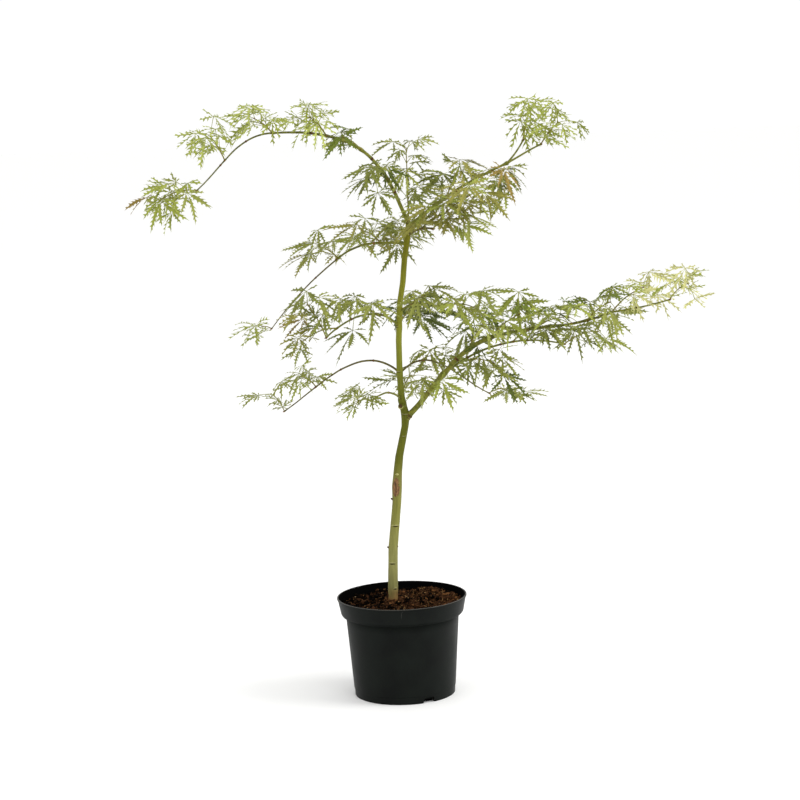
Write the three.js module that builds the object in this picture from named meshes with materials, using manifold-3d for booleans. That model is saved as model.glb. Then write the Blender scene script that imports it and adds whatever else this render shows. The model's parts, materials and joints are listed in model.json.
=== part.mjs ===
// A young laceleaf Japanese maple, grafted on a straight stock and growing in a round nursery pot.
// Millimetres, +Z up. The origin is the centre of the pot's flat underside, +X the side of the
// long low bough, -Y the front.

import * as THREE from "three";
import { mergeVertices } from "three/addons/utils/BufferGeometryUtils.js";
import Module from "manifold-3d";

const wasm = await Module();
wasm.setup();

// ---- Driving sizes ---------------------------------------------------------------------------

const GAP = 0.3; // clearance between neighbouring solids
const TRUNK_SIDES = 12;
const LIMB_SIDES = 6;
const STEM_SIDES = 3;
const STEP_LENGTH = 22; // of a limb's facets along it
const MIN_STEPS = 3;

const pot = {
  height: 146,
  rimRadius: 95.2,
  bandHeight: 25.5, // the wide band under the rim
  bandFootRadius: 90,
  bandEdge: 1, // how far its lower corner hangs below the band's foot
  bandInside: 3, // how far its inner corner stands above the band's foot
  bodyTopRadius: 83,
  baseRadius: 74.3,
  wall: 1.5,
  lip: 2.4, // width and depth of the thicker edge of the rim
  lipProud: 1, // how far the lip stands out from the band
  chamfer: 2, // under the band
  draft: 2, // lean of the channel's sides
  footWidth: 8, // ring that the pot stands on, with a raised channel inside it
  channelHeight: 7,
  discRadius: 44, // flat disc at the middle of the underside
  stepHeight: 10.5, // small step all round, low on the wall
  stepDepth: 0.6,
  stepRise: 0.4,
  facets: 32,
};

// Drain slots cut through the foot; each cut starts and ends clear of the ring.
const notch = { count: 3, bearing: -62, width: 20, topWidth: 15, height: 8, clear: 1, out: 5 };

const compost = { level: 137, lump: 3.2, crown: 1.5, sectors: 22, rings: 6, seed: 11 };

// The trunk, from the flat cut at the compost to the fork of the crown: height, place of its
// centre beside the pot's axis, and radius. The graft is at 309, the low fork at 413.
const trunk = [
  { z: 137, x: -13, y: 3, r: 8.6 },
  { z: 146, x: -12.7, y: 3, r: 7.5 },
  { z: 170, x: -12, y: 2.6, r: 7.2 },
  { z: 217, x: -10, y: 2, r: 7 },
  { z: 285, x: -2, y: 1, r: 6.5 },
  { z: 309, x: -1, y: 0.5, r: 7.4 },
  { z: 330, x: 1, y: 0.5, r: 6.4 },
  { z: 353, x: 4, y: 0, r: 5.9 },
  { z: 397, x: 14, y: 0, r: 5.3 },
  { z: 413, x: 15.5, y: 0, r: 6.2 },
  { z: 436, x: 10.5, y: 0, r: 5 },
  { z: 478, x: 9, y: 0, r: 4.4 },
  { z: 523, x: 9.5, y: 0, r: 4.3 },
  { z: 577, x: 13, y: 0, r: 4.2 },
  { z: 607, x: 18.5, y: 0, r: 4.2 },
  { z: 640, x: 22, y: 0, r: 4.1 },
  { z: 673, x: 28, y: 0, r: 4 },
  { z: 692, x: 30, y: 0, r: 3.9 },
];

// Names the columns of a table of rows.
function named(columns, rows) {
  const pair = (row) => Object.fromEntries(columns.map((column, i) => [column, row[i]]));
  return Object.fromEntries(Object.entries(rows).map(([name, row]) => [name, pair(row)]));
}

// Boughs. Each leaves the trunk at a height, or another bough at a share of its length, and
// bends in one upright plane: its bearing seen from above, how far it reaches and rises, its
// slope where it leaves and where it ends, and its radius at either end.
const boughs = named(["on", "at", "bearing", "reach", "rise", "leave", "arrive", "r0", "r1"], {
  arch_rise: ["trunk", 690, 200, 98, 126, 68, 20, 2.8, 2.1],
  arch_span: ["arch_rise", 1, 204, 103, 14, 18, 0, 2.1, 1.4],
  arch_fall: ["arch_span", 1, 200, 113, -74, 0, -38, 1.3, 0.9],
  top_right: ["trunk", 686, 24, 162, 83, 35, 19, 2.8, 1.7],
  prong_up: ["top_right", 1, 55, 44, 30, 31, 45, 1.5, 1.2],
  prong_out: ["top_right", 1, 5, 50, 25, 28, 22, 1.5, 1.2],
  front: ["trunk", 674, -55, 62, 12, 25, -5, 2, 1.4],
  left_high: ["trunk", 662, 152, 114, -22, 4, -36, 1.9, 1.4],
  left_whip: ["left_high", 1, 160, 110, -104, -36, -50, 1.2, 0.7],
  left_mid: ["trunk", 541, 214, 125, -2, 55, -37, 1.8, 1.1],
  left_low: ["trunk", 476, 150, 201, -66, 36, -32, 1.6, 0.9],
  left_foot: ["trunk", 436, 245, 102, 14, 32, -10, 1.6, 1.1],
  right_twig: ["trunk", 564, -40, 82, 10, 38, -10, 1.5, 1.1],
  back_twig: ["trunk", 474, 48, 200, -55, 32, -24, 1.5, 0.9],
  right_main: ["trunk", 408, -14, 130, 118, 42, 20, 4.2, 3.1],
  right_end: ["right_main", 1, -8, 174, 33, 16, 22, 2.6, 1.6],
  right_tip: ["right_end", 1, -22, 85, 18, 8, 16, 1.4, 1],
  right_fork: ["right_main", 0.48, 4, 178, 36, 36, -15, 1.8, 1.1],
});
const BEND = 0.38; // how far along a bough its first and last slopes hold, as a share of its span

// Masses of foliage. Each grows on a stem that leaves the trunk at a height, or a bough at a share
// of its length, with a bearing, a slope and a length of its own. Leaves stand on it in pairs. leaf
// is the usual length of their longest lobe, and droop how far below level they hang.
const masses = named(["on", "at", "bearing", "leave", "length", "pairs", "leaf", "droop", "seed"], {
  top: ["trunk", 692, 50, 90, 105, 3, 44, 45, 14],
  arch_inner: ["arch_rise", 0.42, 240, 30, 35, 2, 48, 50, 217],
  arch_shoulder: ["arch_rise", 0.8, 190, 50, 30, 1, 42, 45, 33],
  arch_crown: ["arch_span", 0.2, 180, 60, 35, 2, 48, 35, 332],
  arch_ridge: ["arch_span", 1, 215, 50, 35, 2, 50, 40, 562],
  arch_shed: ["arch_fall", 0.6, 150, 65, 40, 2, 52, 45, 416],
  arch_tip: ["arch_fall", 1, 215, 10, 60, 3, 44, 40, 281],
  top_shade: ["top_right", 0.4, 50, 60, 45, 2, 48, 35, 16],
  top_shed: ["top_right", 0.85, -20, -10, 30, 2, 50, 45, 407],
  prong_up: ["prong_up", 1, 45, 75, 45, 2, 46, 50, 87],
  prong_out: ["prong_out", 1, -5, 60, 40, 2, 46, 50, 393],
  front_near: ["front", 0.6, -40, 45, 40, 2, 56, 40, 489],
  front_far: ["front", 1, -35, 50, 75, 3, 54, 45, 437],
  high_near: ["left_high", 0.35, 130, 40, 35, 2, 54, 40, 515],
  high_far: ["left_high", 1, 140, 40, 40, 2, 52, 40, 271],
  whip_tip: ["left_whip", 1, 160, 30, 15, 1, 46, 10, 122],
  mid_near: ["left_mid", 0.35, 220, 30, 40, 2, 54, 50, 336],
  mid_far: ["left_mid", 1, 225, 65, 60, 2, 52, 35, 381],
  mid_tip: ["left_mid", 0.85, 200, 5, 50, 1, 46, 35, 237],
  low_far: ["left_low", 0.72, 125, 35, 35, 2, 44, 40, 114],
  low_tip: ["left_low", 1, 125, 50, 35, 1, 46, 25, 431],
  foot: ["left_foot", 1, 240, 25, 35, 2, 46, 20, 252],
  twig_near: ["right_twig", 0.3, -40, 45, 25, 1, 46, 45, 513],
  twig_far: ["right_twig", 1, -45, 20, 65, 2, 50, 35, 238],
  back_twig_near: ["back_twig", 0.25, 45, 30, 20, 1, 46, 50, 330],
  back_twig_tip: ["back_twig", 1, 35, 20, 40, 1, 44, 20, 137],
  main_foot: ["right_main", 0.35, -90, 30, 35, 1, 46, 30, 260],
  main_under: ["right_fork", 0.15, -30, 20, 55, 2, 52, 45, 26],
  main_top: ["right_main", 0.8, 55, 50, 50, 2, 54, 50, 407],
  main_head: ["right_main", 1, -20, 50, 55, 2, 54, 45, 329],
  fork_mid: ["right_fork", 0.6, -15, 45, 35, 1, 52, 40, 136],
  crest: ["right_end", 0.35, -25, 35, 55, 2, 56, 40, 39],
  fork_tip: ["right_fork", 1, 30, 30, 60, 2, 50, 45, 442],
  ridge: ["right_end", 0.8, 25, 45, 45, 2, 50, 40, 432],
  tip_up: ["right_end", 1, 25, 45, 60, 2, 44, 30, 8],
  tip_out: ["right_tip", 1, -60, 45, 50, 2, 44, 25, 41],
  back_high: ["trunk", 655, 95, 25, 130, 2, 48, 40, 469],
  back_mid: ["trunk", 545, 75, 20, 150, 3, 50, 40, 560],
  back_low: ["trunk", 440, 80, 25, 120, 3, 46, 20, 270],
});

// ---- Colours ---------------------------------------------------------------------------------

const colours = {
  plastic: { color: 0x1f2220, roughness: 0.55, metalness: 0 },
  compost: { color: 0x3d2a1d, roughness: 0.95, metalness: 0 },
  bark: { color: 0x7f8a45, roughness: 0.6, metalness: 0 },
  leaf: { color: 0x7d9440, roughness: 0.6, metalness: 0 },
};

// ---- Shapes ----------------------------------------------------------------------------------

const up = new THREE.Vector3(0, 0, 1);
const radians = THREE.MathUtils.degToRad;

// Direction with a compass bearing (0 is +X, 90 is +Y) and a slope above the horizon.
function heading(bearing, slope) {
  const [b, s] = [radians(bearing), radians(slope)];
  return new THREE.Vector3(Math.cos(b) * Math.cos(s), Math.sin(b) * Math.cos(s), Math.sin(s));
}

// Geometry from corner points and triangles that index them.
function facetted(points, triangles) {
  const geometry = new THREE.BufferGeometry();
  const numbers = points.flatMap((p) => p.toArray());
  geometry.setAttribute("position", new THREE.Float32BufferAttribute(numbers, 3));
  geometry.setIndex(triangles.flat());
  return geometry;
}

// Closed solid through rings of points, each ring turning counter-clockwise about the way forward.
function loft(rings) {
  const sides = rings[0].length;
  const triangles = [];
  for (let ring = 0; ring < rings.length - 1; ring++) {
    for (let i = 0; i < sides; i++) {
      const [a, b] = [ring * sides + i, ring * sides + ((i + 1) % sides)];
      triangles.push([a, b, b + sides], [a, b + sides, a + sides]);
    }
  }
  const last = (rings.length - 1) * sides;
  for (let i = 1; i < sides - 1; i++) {
    triangles.push([0, i + 1, i], [last, last + i, last + i + 1]);
  }
  return facetted(rings.flat(), triangles);
}

// Tapering tube with flat ends through stations { at, r }, its sides running on without a twist.
function tube(stations, sides) {
  const points = stations.map((s) => s.at);
  const tangents = points.map((p, i) =>
    points[Math.min(i + 1, points.length - 1)].clone().sub(points[Math.max(i - 1, 0)]).normalize(),
  );
  let across = Math.abs(tangents[0].z) > 0.9 ? new THREE.Vector3(1, 0, 0) : up.clone();
  const rings = stations.map(({ at, r }, i) => {
    across = across.clone().addScaledVector(tangents[i], -across.dot(tangents[i])).normalize();
    const other = tangents[i].clone().cross(across);
    return Array.from({ length: sides }, (_, k) => {
      const turn = (k * 2 * Math.PI) / sides;
      const [x, y] = [r * Math.cos(turn), r * Math.sin(turn)];
      return at.clone().addScaledVector(across, x).addScaledVector(other, y);
    });
  });
  return loft(rings);
}

// ---- Joining and cutting ---------------------------------------------------------------------

function toSolid(geometry) {
  const bare = geometry.clone();
  bare.deleteAttribute("normal");
  bare.deleteAttribute("uv");
  const merged = mergeVertices(bare, 1e-4);
  const index = Array.from(merged.index.array);
  const triangles = [];
  for (let i = 0; i < index.length; i += 3) {
    const [a, b, c] = index.slice(i, i + 3);
    if (a !== b && b !== c && c !== a) triangles.push(a, b, c);
  }
  return new wasm.Manifold(
    new wasm.Mesh({
      numProp: 3,
      vertProperties: new Float32Array(merged.attributes.position.array),
      triVerts: new Uint32Array(triangles),
    }),
  );
}

function toGeometry(solid) {
  const mesh = solid.getMesh();
  const geometry = new THREE.BufferGeometry();
  geometry.setAttribute("position", new THREE.BufferAttribute(mesh.vertProperties, 3));
  geometry.setIndex(new THREE.BufferAttribute(mesh.triVerts, 1));
  geometry.computeVertexNormals();
  return geometry;
}

const plant = new THREE.Group();

function place(name, solid, material) {
  const mesh = new THREE.Mesh(toGeometry(solid), new THREE.MeshStandardMaterial(material));
  mesh.name = name;
  plant.add(mesh);
}

// ---- Pot -------------------------------------------------------------------------------------
// One moulded wall: disc, raised channel, foot ring, tapering body, stepped band and thin lip.

function potSolid() {
  const { height, wall, channelHeight: channel, discRadius: disc, baseRadius: base } = pot;
  const bandFoot = height - pot.bandHeight;
  const footInside = base - pot.footWidth;
  const profile = [
    [0, 0],
    [disc, 0],
    [disc + pot.draft, channel],
    [footInside - pot.draft, channel],
    [footInside, 0],
    [base - pot.stepDepth, 0],
    [base, pot.stepHeight],
    [base + pot.stepDepth, pot.stepHeight + pot.stepRise],
    [pot.bodyTopRadius, bandFoot - pot.chamfer],
    [pot.bandFootRadius - pot.chamfer, bandFoot - pot.bandEdge],
    [pot.bandFootRadius, bandFoot + pot.chamfer],
    [pot.rimRadius - pot.lipProud, height - pot.lip],
    [pot.rimRadius, height],
    [pot.rimRadius - pot.lip, height],
    [pot.bandFootRadius - wall, bandFoot + pot.bandInside],
    [pot.bodyTopRadius - wall, bandFoot],
    [base - wall, wall],
    [footInside + wall, wall],
    [footInside - wall, channel + wall],
    [disc + wall, channel + wall],
    [disc - wall, wall],
    [0, wall],
  ];
  const wallShape = new THREE.LatheGeometry(profile.map(([r, z]) => new THREE.Vector2(r, z)), pot.facets);
  let solid = toSolid(wallShape.rotateX(Math.PI / 2));
  for (let i = 0; i < notch.count; i++) {
    solid = solid.subtract(notchSolid(notch.bearing + (360 / notch.count) * i));
  }
  return solid;
}

// Wedge that cuts one drain slot through the foot ring, narrower at its top.
function notchSolid(bearing) {
  const outline = new THREE.Shape([
    new THREE.Vector2(-notch.width / 2, -notch.clear),
    new THREE.Vector2(notch.width / 2, -notch.clear),
    new THREE.Vector2(notch.topWidth / 2, notch.height),
    new THREE.Vector2(-notch.topWidth / 2, notch.height),
  ]);
  const inside = pot.baseRadius - pot.footWidth - notch.clear;
  const depth = notch.clear + pot.footWidth + notch.out;
  const wedge = new THREE.ExtrudeGeometry(outline, { depth, bevelEnabled: false });
  wedge.rotateX(Math.PI / 2).rotateZ(Math.PI / 2).translate(inside, 0, 0).rotateZ(radians(bearing));
  return toSolid(wedge);
}

// ---- Compost ---------------------------------------------------------------------------------
// Fills the pot to just under the rim; its top is lumpy and rises a little towards the trunk.

function seeded(seed) {
  let state = (seed * 7919 + 104729) % 2147483647;
  return () => {
    state = (state * 16807) % 2147483647;
    return state / 2147483647;
  };
}

function compostSolid() {
  const random = seeded(compost.seed);
  const bandFoot = pot.height - pot.bandHeight;
  const slack = pot.wall + 2 * GAP;
  const sides = [
    { z: pot.channelHeight + pot.wall + GAP, r: pot.baseRadius - slack },
    { z: bandFoot + GAP, r: pot.bodyTopRadius - slack },
    { z: bandFoot + pot.bandInside + GAP, r: pot.bandFootRadius - slack },
  ];
  const ring = (r, height) =>
    Array.from({ length: compost.sectors }, (_, k) => {
      const turn = (k * 2 * Math.PI) / compost.sectors;
      return new THREE.Vector3(r * Math.cos(turn), r * Math.sin(turn), height());
    });
  const rings = sides.map(({ z, r }) => ring(r, () => z));
  for (let i = 0; i < compost.rings; i++) {
    const share = 1 - i / compost.rings;
    rings.push(ring(pot.bandFootRadius * share, () =>
      compost.level + compost.crown * (1 - share) + compost.lump * (random() - 0.5)));
  }
  const foot = trunk[0];
  const seat = tube(
    [
      { at: new THREE.Vector3(foot.x, foot.y, foot.z - GAP), r: foot.r + 2 * GAP },
      { at: new THREE.Vector3(foot.x, foot.y, pot.height), r: foot.r + 2 * GAP },
    ],
    TRUNK_SIDES,
  );
  return toSolid(loft(rings)).subtract(toSolid(seat));
}

// ---- Trunk and boughs ------------------------------------------------------------------------

// Centre of the trunk at a height.
function trunkAt(height) {
  const above = Math.max(1, trunk.findIndex((s) => s.z >= height));
  const [low, high] = [trunk[above - 1], trunk[above]];
  const share = (height - low.z) / (high.z - low.z);
  return new THREE.Vector3(low.x + share * (high.x - low.x), low.y + share * (high.y - low.y), height);
}

function trunkRadius(height) {
  const above = Math.max(1, trunk.findIndex((s) => s.z >= height));
  const [low, high] = [trunk[above - 1], trunk[above]];
  return low.r + ((height - low.z) / (high.z - low.z)) * (high.r - low.r);
}

// Curve that leaves a point at one slope and ends at another, all in one upright plane.
function arc(start, { bearing, reach, rise, leave, arrive }) {
  const pull = BEND * Math.hypot(reach, rise);
  const end = start.clone().addScaledVector(heading(bearing, 0), reach).addScaledVector(up, rise);
  const first = start.clone().addScaledVector(heading(bearing, leave), pull);
  const second = end.clone().addScaledVector(heading(bearing, arrive), -pull);
  return new THREE.CubicBezierCurve3(start, first, second, end);
}

const curves = {};
for (const [name, bough] of Object.entries(boughs)) {
  curves[name] = arc(startOf(bough), bough);
}

function startOf({ on, at }) {
  return on === "trunk" ? trunkAt(at) : curves[on].getPoint(at);
}

// Radius of the trunk or bough that something grows on, where it starts.
function radiusBelow({ on, at }) {
  if (on === "trunk") return trunkRadius(at);
  const { r0, r1 } = boughs[on];
  return r0 + at * (r1 - r0);
}

// Limb along a curve. A grown limb is the same a little larger, to cut its neighbours clear of it.
function limbSolid(curve, { r0, r1, sides, grow = 0 }) {
  const steps = Math.max(MIN_STEPS, Math.round(curve.getLength() / STEP_LENGTH));
  const stations = curve.getPoints(steps).map((at, i) => ({ at, r: r0 + ((r1 - r0) * i) / steps + grow }));
  if (grow > 0) {
    stations[steps].at.addScaledVector(curve.getTangent(1), GAP);
  }
  return toSolid(tube(stations, sides));
}

function trunkSolid(grow = 0) {
  const stations = trunk.map(({ z, x, y, r }) => ({ at: new THREE.Vector3(x, y, z), r: r + grow }));
  if (grow > 0) {
    stations.at(-1).at.z += GAP;
  }
  return toSolid(tube(stations, TRUNK_SIDES));
}

// What a limb must stay clear of: each earlier limb, grown by the clearance.
const grown = [trunkSolid(GAP / Math.cos(Math.PI / TRUNK_SIDES))];

function boughSolid(name, { r0, r1 }) {
  const sizes = { r0, r1, sides: LIMB_SIDES };
  let solid = limbSolid(curves[name], sizes);
  for (const other of grown) {
    solid = solid.subtract(other);
  }
  grown.push(limbSolid(curves[name], { ...sizes, grow: GAP / Math.cos(Math.PI / LIMB_SIDES) }));
  return solid;
}

// ---- Leaves ----------------------------------------------------------------------------------
// A leaf is a hand of lobes that droop from the end of its stalk. Leaves stand in pairs along a
// mass's stem, each pair turned a quarter round from the last.

const lobes = [
  { turn: -84, share: 0.55 },
  { turn: -54, share: 0.8 },
  { turn: -26, share: 0.95 },
  { turn: 0, share: 1 },
  { turn: 26, share: 0.95 },
  { turn: 54, share: 0.8 },
  { turn: 84, share: 0.55 },
];
const leafRule = {
  sag: 40, // how much a level stem bends down by its end
  stemRoot: 1.3,
  stemTip: 1,
  firstPair: 0.3, // share of the stem below the first pair
  stalkRadius: 0.55,
  stalkLength: [0.35, 0.65], // least and most, as a share of the mass's usual leaf
  size: [0.75, 1.15], // least and most, as a share of the same
  spread: [35, 80], // least and most angle between a stalk and its stem
  curl: [0.15, 0.4], // least and most fall of a lobe's tip, as a share of its length
  lift: 0.35, // most that a stalk turns up
  roll: 50, // range of a stalk's turn about its stem
  droop: 50, // range of a blade's slope about its mass's own
  twist: 70, // range of a blade's tilt to one side
  steep: 0.97, // a stem is taken for upright above this
  flatLeast: 0.15, // a stalk is taken for upright below this
  nudge: 0.001, // keeps an upright stem's leaves from having no way to face
  tries: 10, // places tried for a leaf before it is left out
  trunkStep: 10, // between the points of the trunk that leaves keep clear of
  boughSteps: 30, // between a bough's
  trunkFrom: 140,
  trunkTo: 690,
  stemFeelers: [0.2, 0.3, 0.4, 0.5, 0.6, 0.7, 0.8, 0.9, 1],
  stalkFeelers: [0.4, 0.7, 1],
  lobeFeelers: 6,
  limbClear: 4,
  leafClear: 9, // between leaves of different masses
  ownClear: 6, // between leaves of one mass
  cleft: 0.34, // depth of the gap between two lobes, as a share of the shorter one
  heel: 0.1, // how far the blade runs on behind its stalk
  thickness: 0.036,
};

function stemCurve(mass) {
  const arrive = mass.leave - leafRule.sag * Math.cos(radians(mass.leave));
  const middle = radians((mass.leave + arrive) / 2);
  const [reach, rise] = [mass.length * Math.cos(middle), mass.length * Math.sin(middle)];
  return arc(startOf(mass), { bearing: mass.bearing, reach, rise, leave: mass.leave, arrive });
}

// One leaf drawn at random on a stem's node: its stalk's end and the three axes of its blade.
function drawLeaf(random, node, ahead, turn, way, mass) {
  const between = ([least, most]) => least + (most - least) * random();
  const about = (range) => radians(range * (random() - 0.5));
  const level = Math.abs(ahead.z) < leafRule.steep;
  const aside = level ? up.clone().cross(ahead).normalize() : new THREE.Vector3(1, 0, 0);
  const above = ahead.clone().cross(aside);
  const roll = radians(turn) + about(leafRule.roll);
  const out = aside.multiplyScalar(Math.cos(roll)).addScaledVector(above, Math.sin(roll));
  out.multiplyScalar(way);
  const spread = radians(between(leafRule.spread));
  const stalk = ahead.clone().multiplyScalar(Math.cos(spread)).addScaledVector(out, Math.sin(spread));
  stalk.addScaledVector(up, leafRule.lift * random()).normalize();
  const hilt = node.clone().addScaledVector(stalk, mass.leaf * between(leafRule.stalkLength));
  const size = mass.leaf * between(leafRule.size);
  const flat = new THREE.Vector3(stalk.x, stalk.y, 0);
  if (flat.length() < leafRule.flatLeast) {
    flat.set(ahead.x + leafRule.nudge, ahead.y, 0);
  }
  flat.normalize();
  const droop = radians(mass.droop) + about(leafRule.droop);
  const axis = flat.clone().multiplyScalar(Math.cos(droop)).addScaledVector(up, -Math.sin(droop));
  const twist = about(leafRule.twist);
  const side = up.clone().cross(flat);
  const face = axis.clone().cross(side);
  side.multiplyScalar(Math.cos(twist)).addScaledVector(face, Math.sin(twist));
  return { node, hilt, axis, side, face: axis.clone().cross(side), size, curl: between(leafRule.curl) };
}

// Point of a blade at an angle from its axis and a share of its size from the hilt.
function bladePoint({ hilt, axis, side, face, size, curl }, turn, share, along) {
  const reach = size * share * along;
  return hilt
    .clone()
    .addScaledVector(axis, Math.cos(radians(turn)) * reach)
    .addScaledVector(side, Math.sin(radians(turn)) * reach)
    .addScaledVector(face, -curl * reach * along);
}

// Points along a leaf's stalk and lobes, which keep their distance from limbs and other masses.
function feelers(leaf) {
  const points = leafRule.stalkFeelers.map((share) => leaf.node.clone().lerp(leaf.hilt, share));
  for (const { turn, share } of lobes) {
    for (let i = 1; i <= leafRule.lobeFeelers; i++) {
      points.push(bladePoint(leaf, turn, share, i / leafRule.lobeFeelers));
    }
  }
  return points;
}

// Points along the trunk and every bough, with the radius there.
const limbPoints = [];
for (let z = leafRule.trunkFrom; z < leafRule.trunkTo; z += leafRule.trunkStep) {
  limbPoints.push({ at: trunkAt(z), r: trunkRadius(z) });
}
for (const [name, { r0, r1 }] of Object.entries(boughs)) {
  curves[name].getPoints(leafRule.boughSteps).forEach((at, i) => {
    limbPoints.push({ at, r: r0 + ((r1 - r0) * i) / leafRule.boughSteps });
  });
}

// Leaves of every mass, one mass after another. A leaf that would touch a limb or another mass
// is drawn again, and left out when no place is found.
function growLeaves() {
  const stems = Object.fromEntries(Object.entries(masses).map(([name, mass]) => [name, stemCurve(mass)]));
  const taken = Object.entries(stems).flatMap(([name, stem]) =>
    leafRule.stemFeelers.map((share) => ({ name, at: stem.getPoint(share) })),
  );
  const isClear = (name, points, own) =>
    points.every(
      (p) =>
        limbPoints.every(({ at, r }) => p.distanceTo(at) >= r + leafRule.limbClear) &&
        taken.every((other) => other.name === name || p.distanceTo(other.at) >= leafRule.leafClear) &&
        own.every((at) => p.distanceTo(at) >= leafRule.ownClear),
    );
  return Object.entries(masses).map(([name, mass]) => {
    const [stem, random, leaves, own] = [stems[name], seeded(mass.seed), [], []];
    for (let pair = 0; pair < mass.pairs; pair++) {
      const first = mass.pairs === 1 ? 1 : leafRule.firstPair;
      const t = mass.pairs === 1 ? 1 : first + ((1 - first) * pair) / (mass.pairs - 1);
      for (const way of [1, -1]) {
        for (let attempt = 0; attempt < leafRule.tries; attempt++) {
          const leaf = drawLeaf(random, stem.getPoint(t), stem.getTangent(t), 90 * (pair % 2), way, mass);
          const points = feelers(leaf);
          if (isClear(name, points, own)) {
            leaves.push(leaf);
            own.push(...points);
            break;
          }
        }
      }
    }
    taken.push(...own.map((at) => ({ name, at })));
    return { name, mass, stem, leaves };
  });
}

// Thin star-shaped plate: an outline of tips and clefts, ridged to a point on either face.
function bladeSolid(leaf) {
  const outline = [];
  lobes.forEach(({ turn, share }, i) => {
    outline.push(bladePoint(leaf, turn, share, 1));
    if (i < lobes.length - 1) {
      const next = lobes[i + 1];
      outline.push(bladePoint(leaf, (turn + next.turn) / 2, Math.min(share, next.share), leafRule.cleft));
    }
  });
  outline.push(bladePoint(leaf, 180, leafRule.heel, 1));
  const count = outline.length;
  const thick = (leafRule.thickness * leaf.size) / 2;
  const points = [
    ...outline,
    leaf.hilt.clone().addScaledVector(leaf.face, thick),
    leaf.hilt.clone().addScaledVector(leaf.face, -thick),
  ];
  const triangles = outline.flatMap((_, i) => {
    const next = (i + 1) % count;
    return [[i, next, count], [next, i, count + 1]];
  });
  return toSolid(facetted(points, triangles));
}

// A mass: its stem, and the stalk and blade of every leaf fused to it.
function massSolid({ mass, stem, leaves }) {
  const root = Math.min(leafRule.stemRoot, radiusBelow(mass));
  let solid = limbSolid(stem, { r0: root, r1: leafRule.stemTip, sides: STEM_SIDES });
  for (const { node, hilt, ...leaf } of leaves) {
    const stalk = tube([node, hilt].map((at) => ({ at, r: leafRule.stalkRadius })), STEM_SIDES);
    solid = solid.add(toSolid(stalk).add(bladeSolid({ hilt, ...leaf })));
  }
  for (const other of grown) {
    solid = solid.subtract(other);
  }
  return solid;
}

// ---- Assembly --------------------------------------------------------------------------------

place("pot", potSolid(), colours.plastic);
place("compost", compostSolid(), colours.compost);
place("trunk", trunkSolid(), colours.bark);
for (const [name, bough] of Object.entries(boughs)) {
  place(`bough_${name}`, boughSolid(name, bough), colours.bark);
}
for (const grownMass of growLeaves()) {
  place(`leaves_${grownMass.name}`, massSolid(grownMass), colours.leaf);
}

export default plant;
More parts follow.
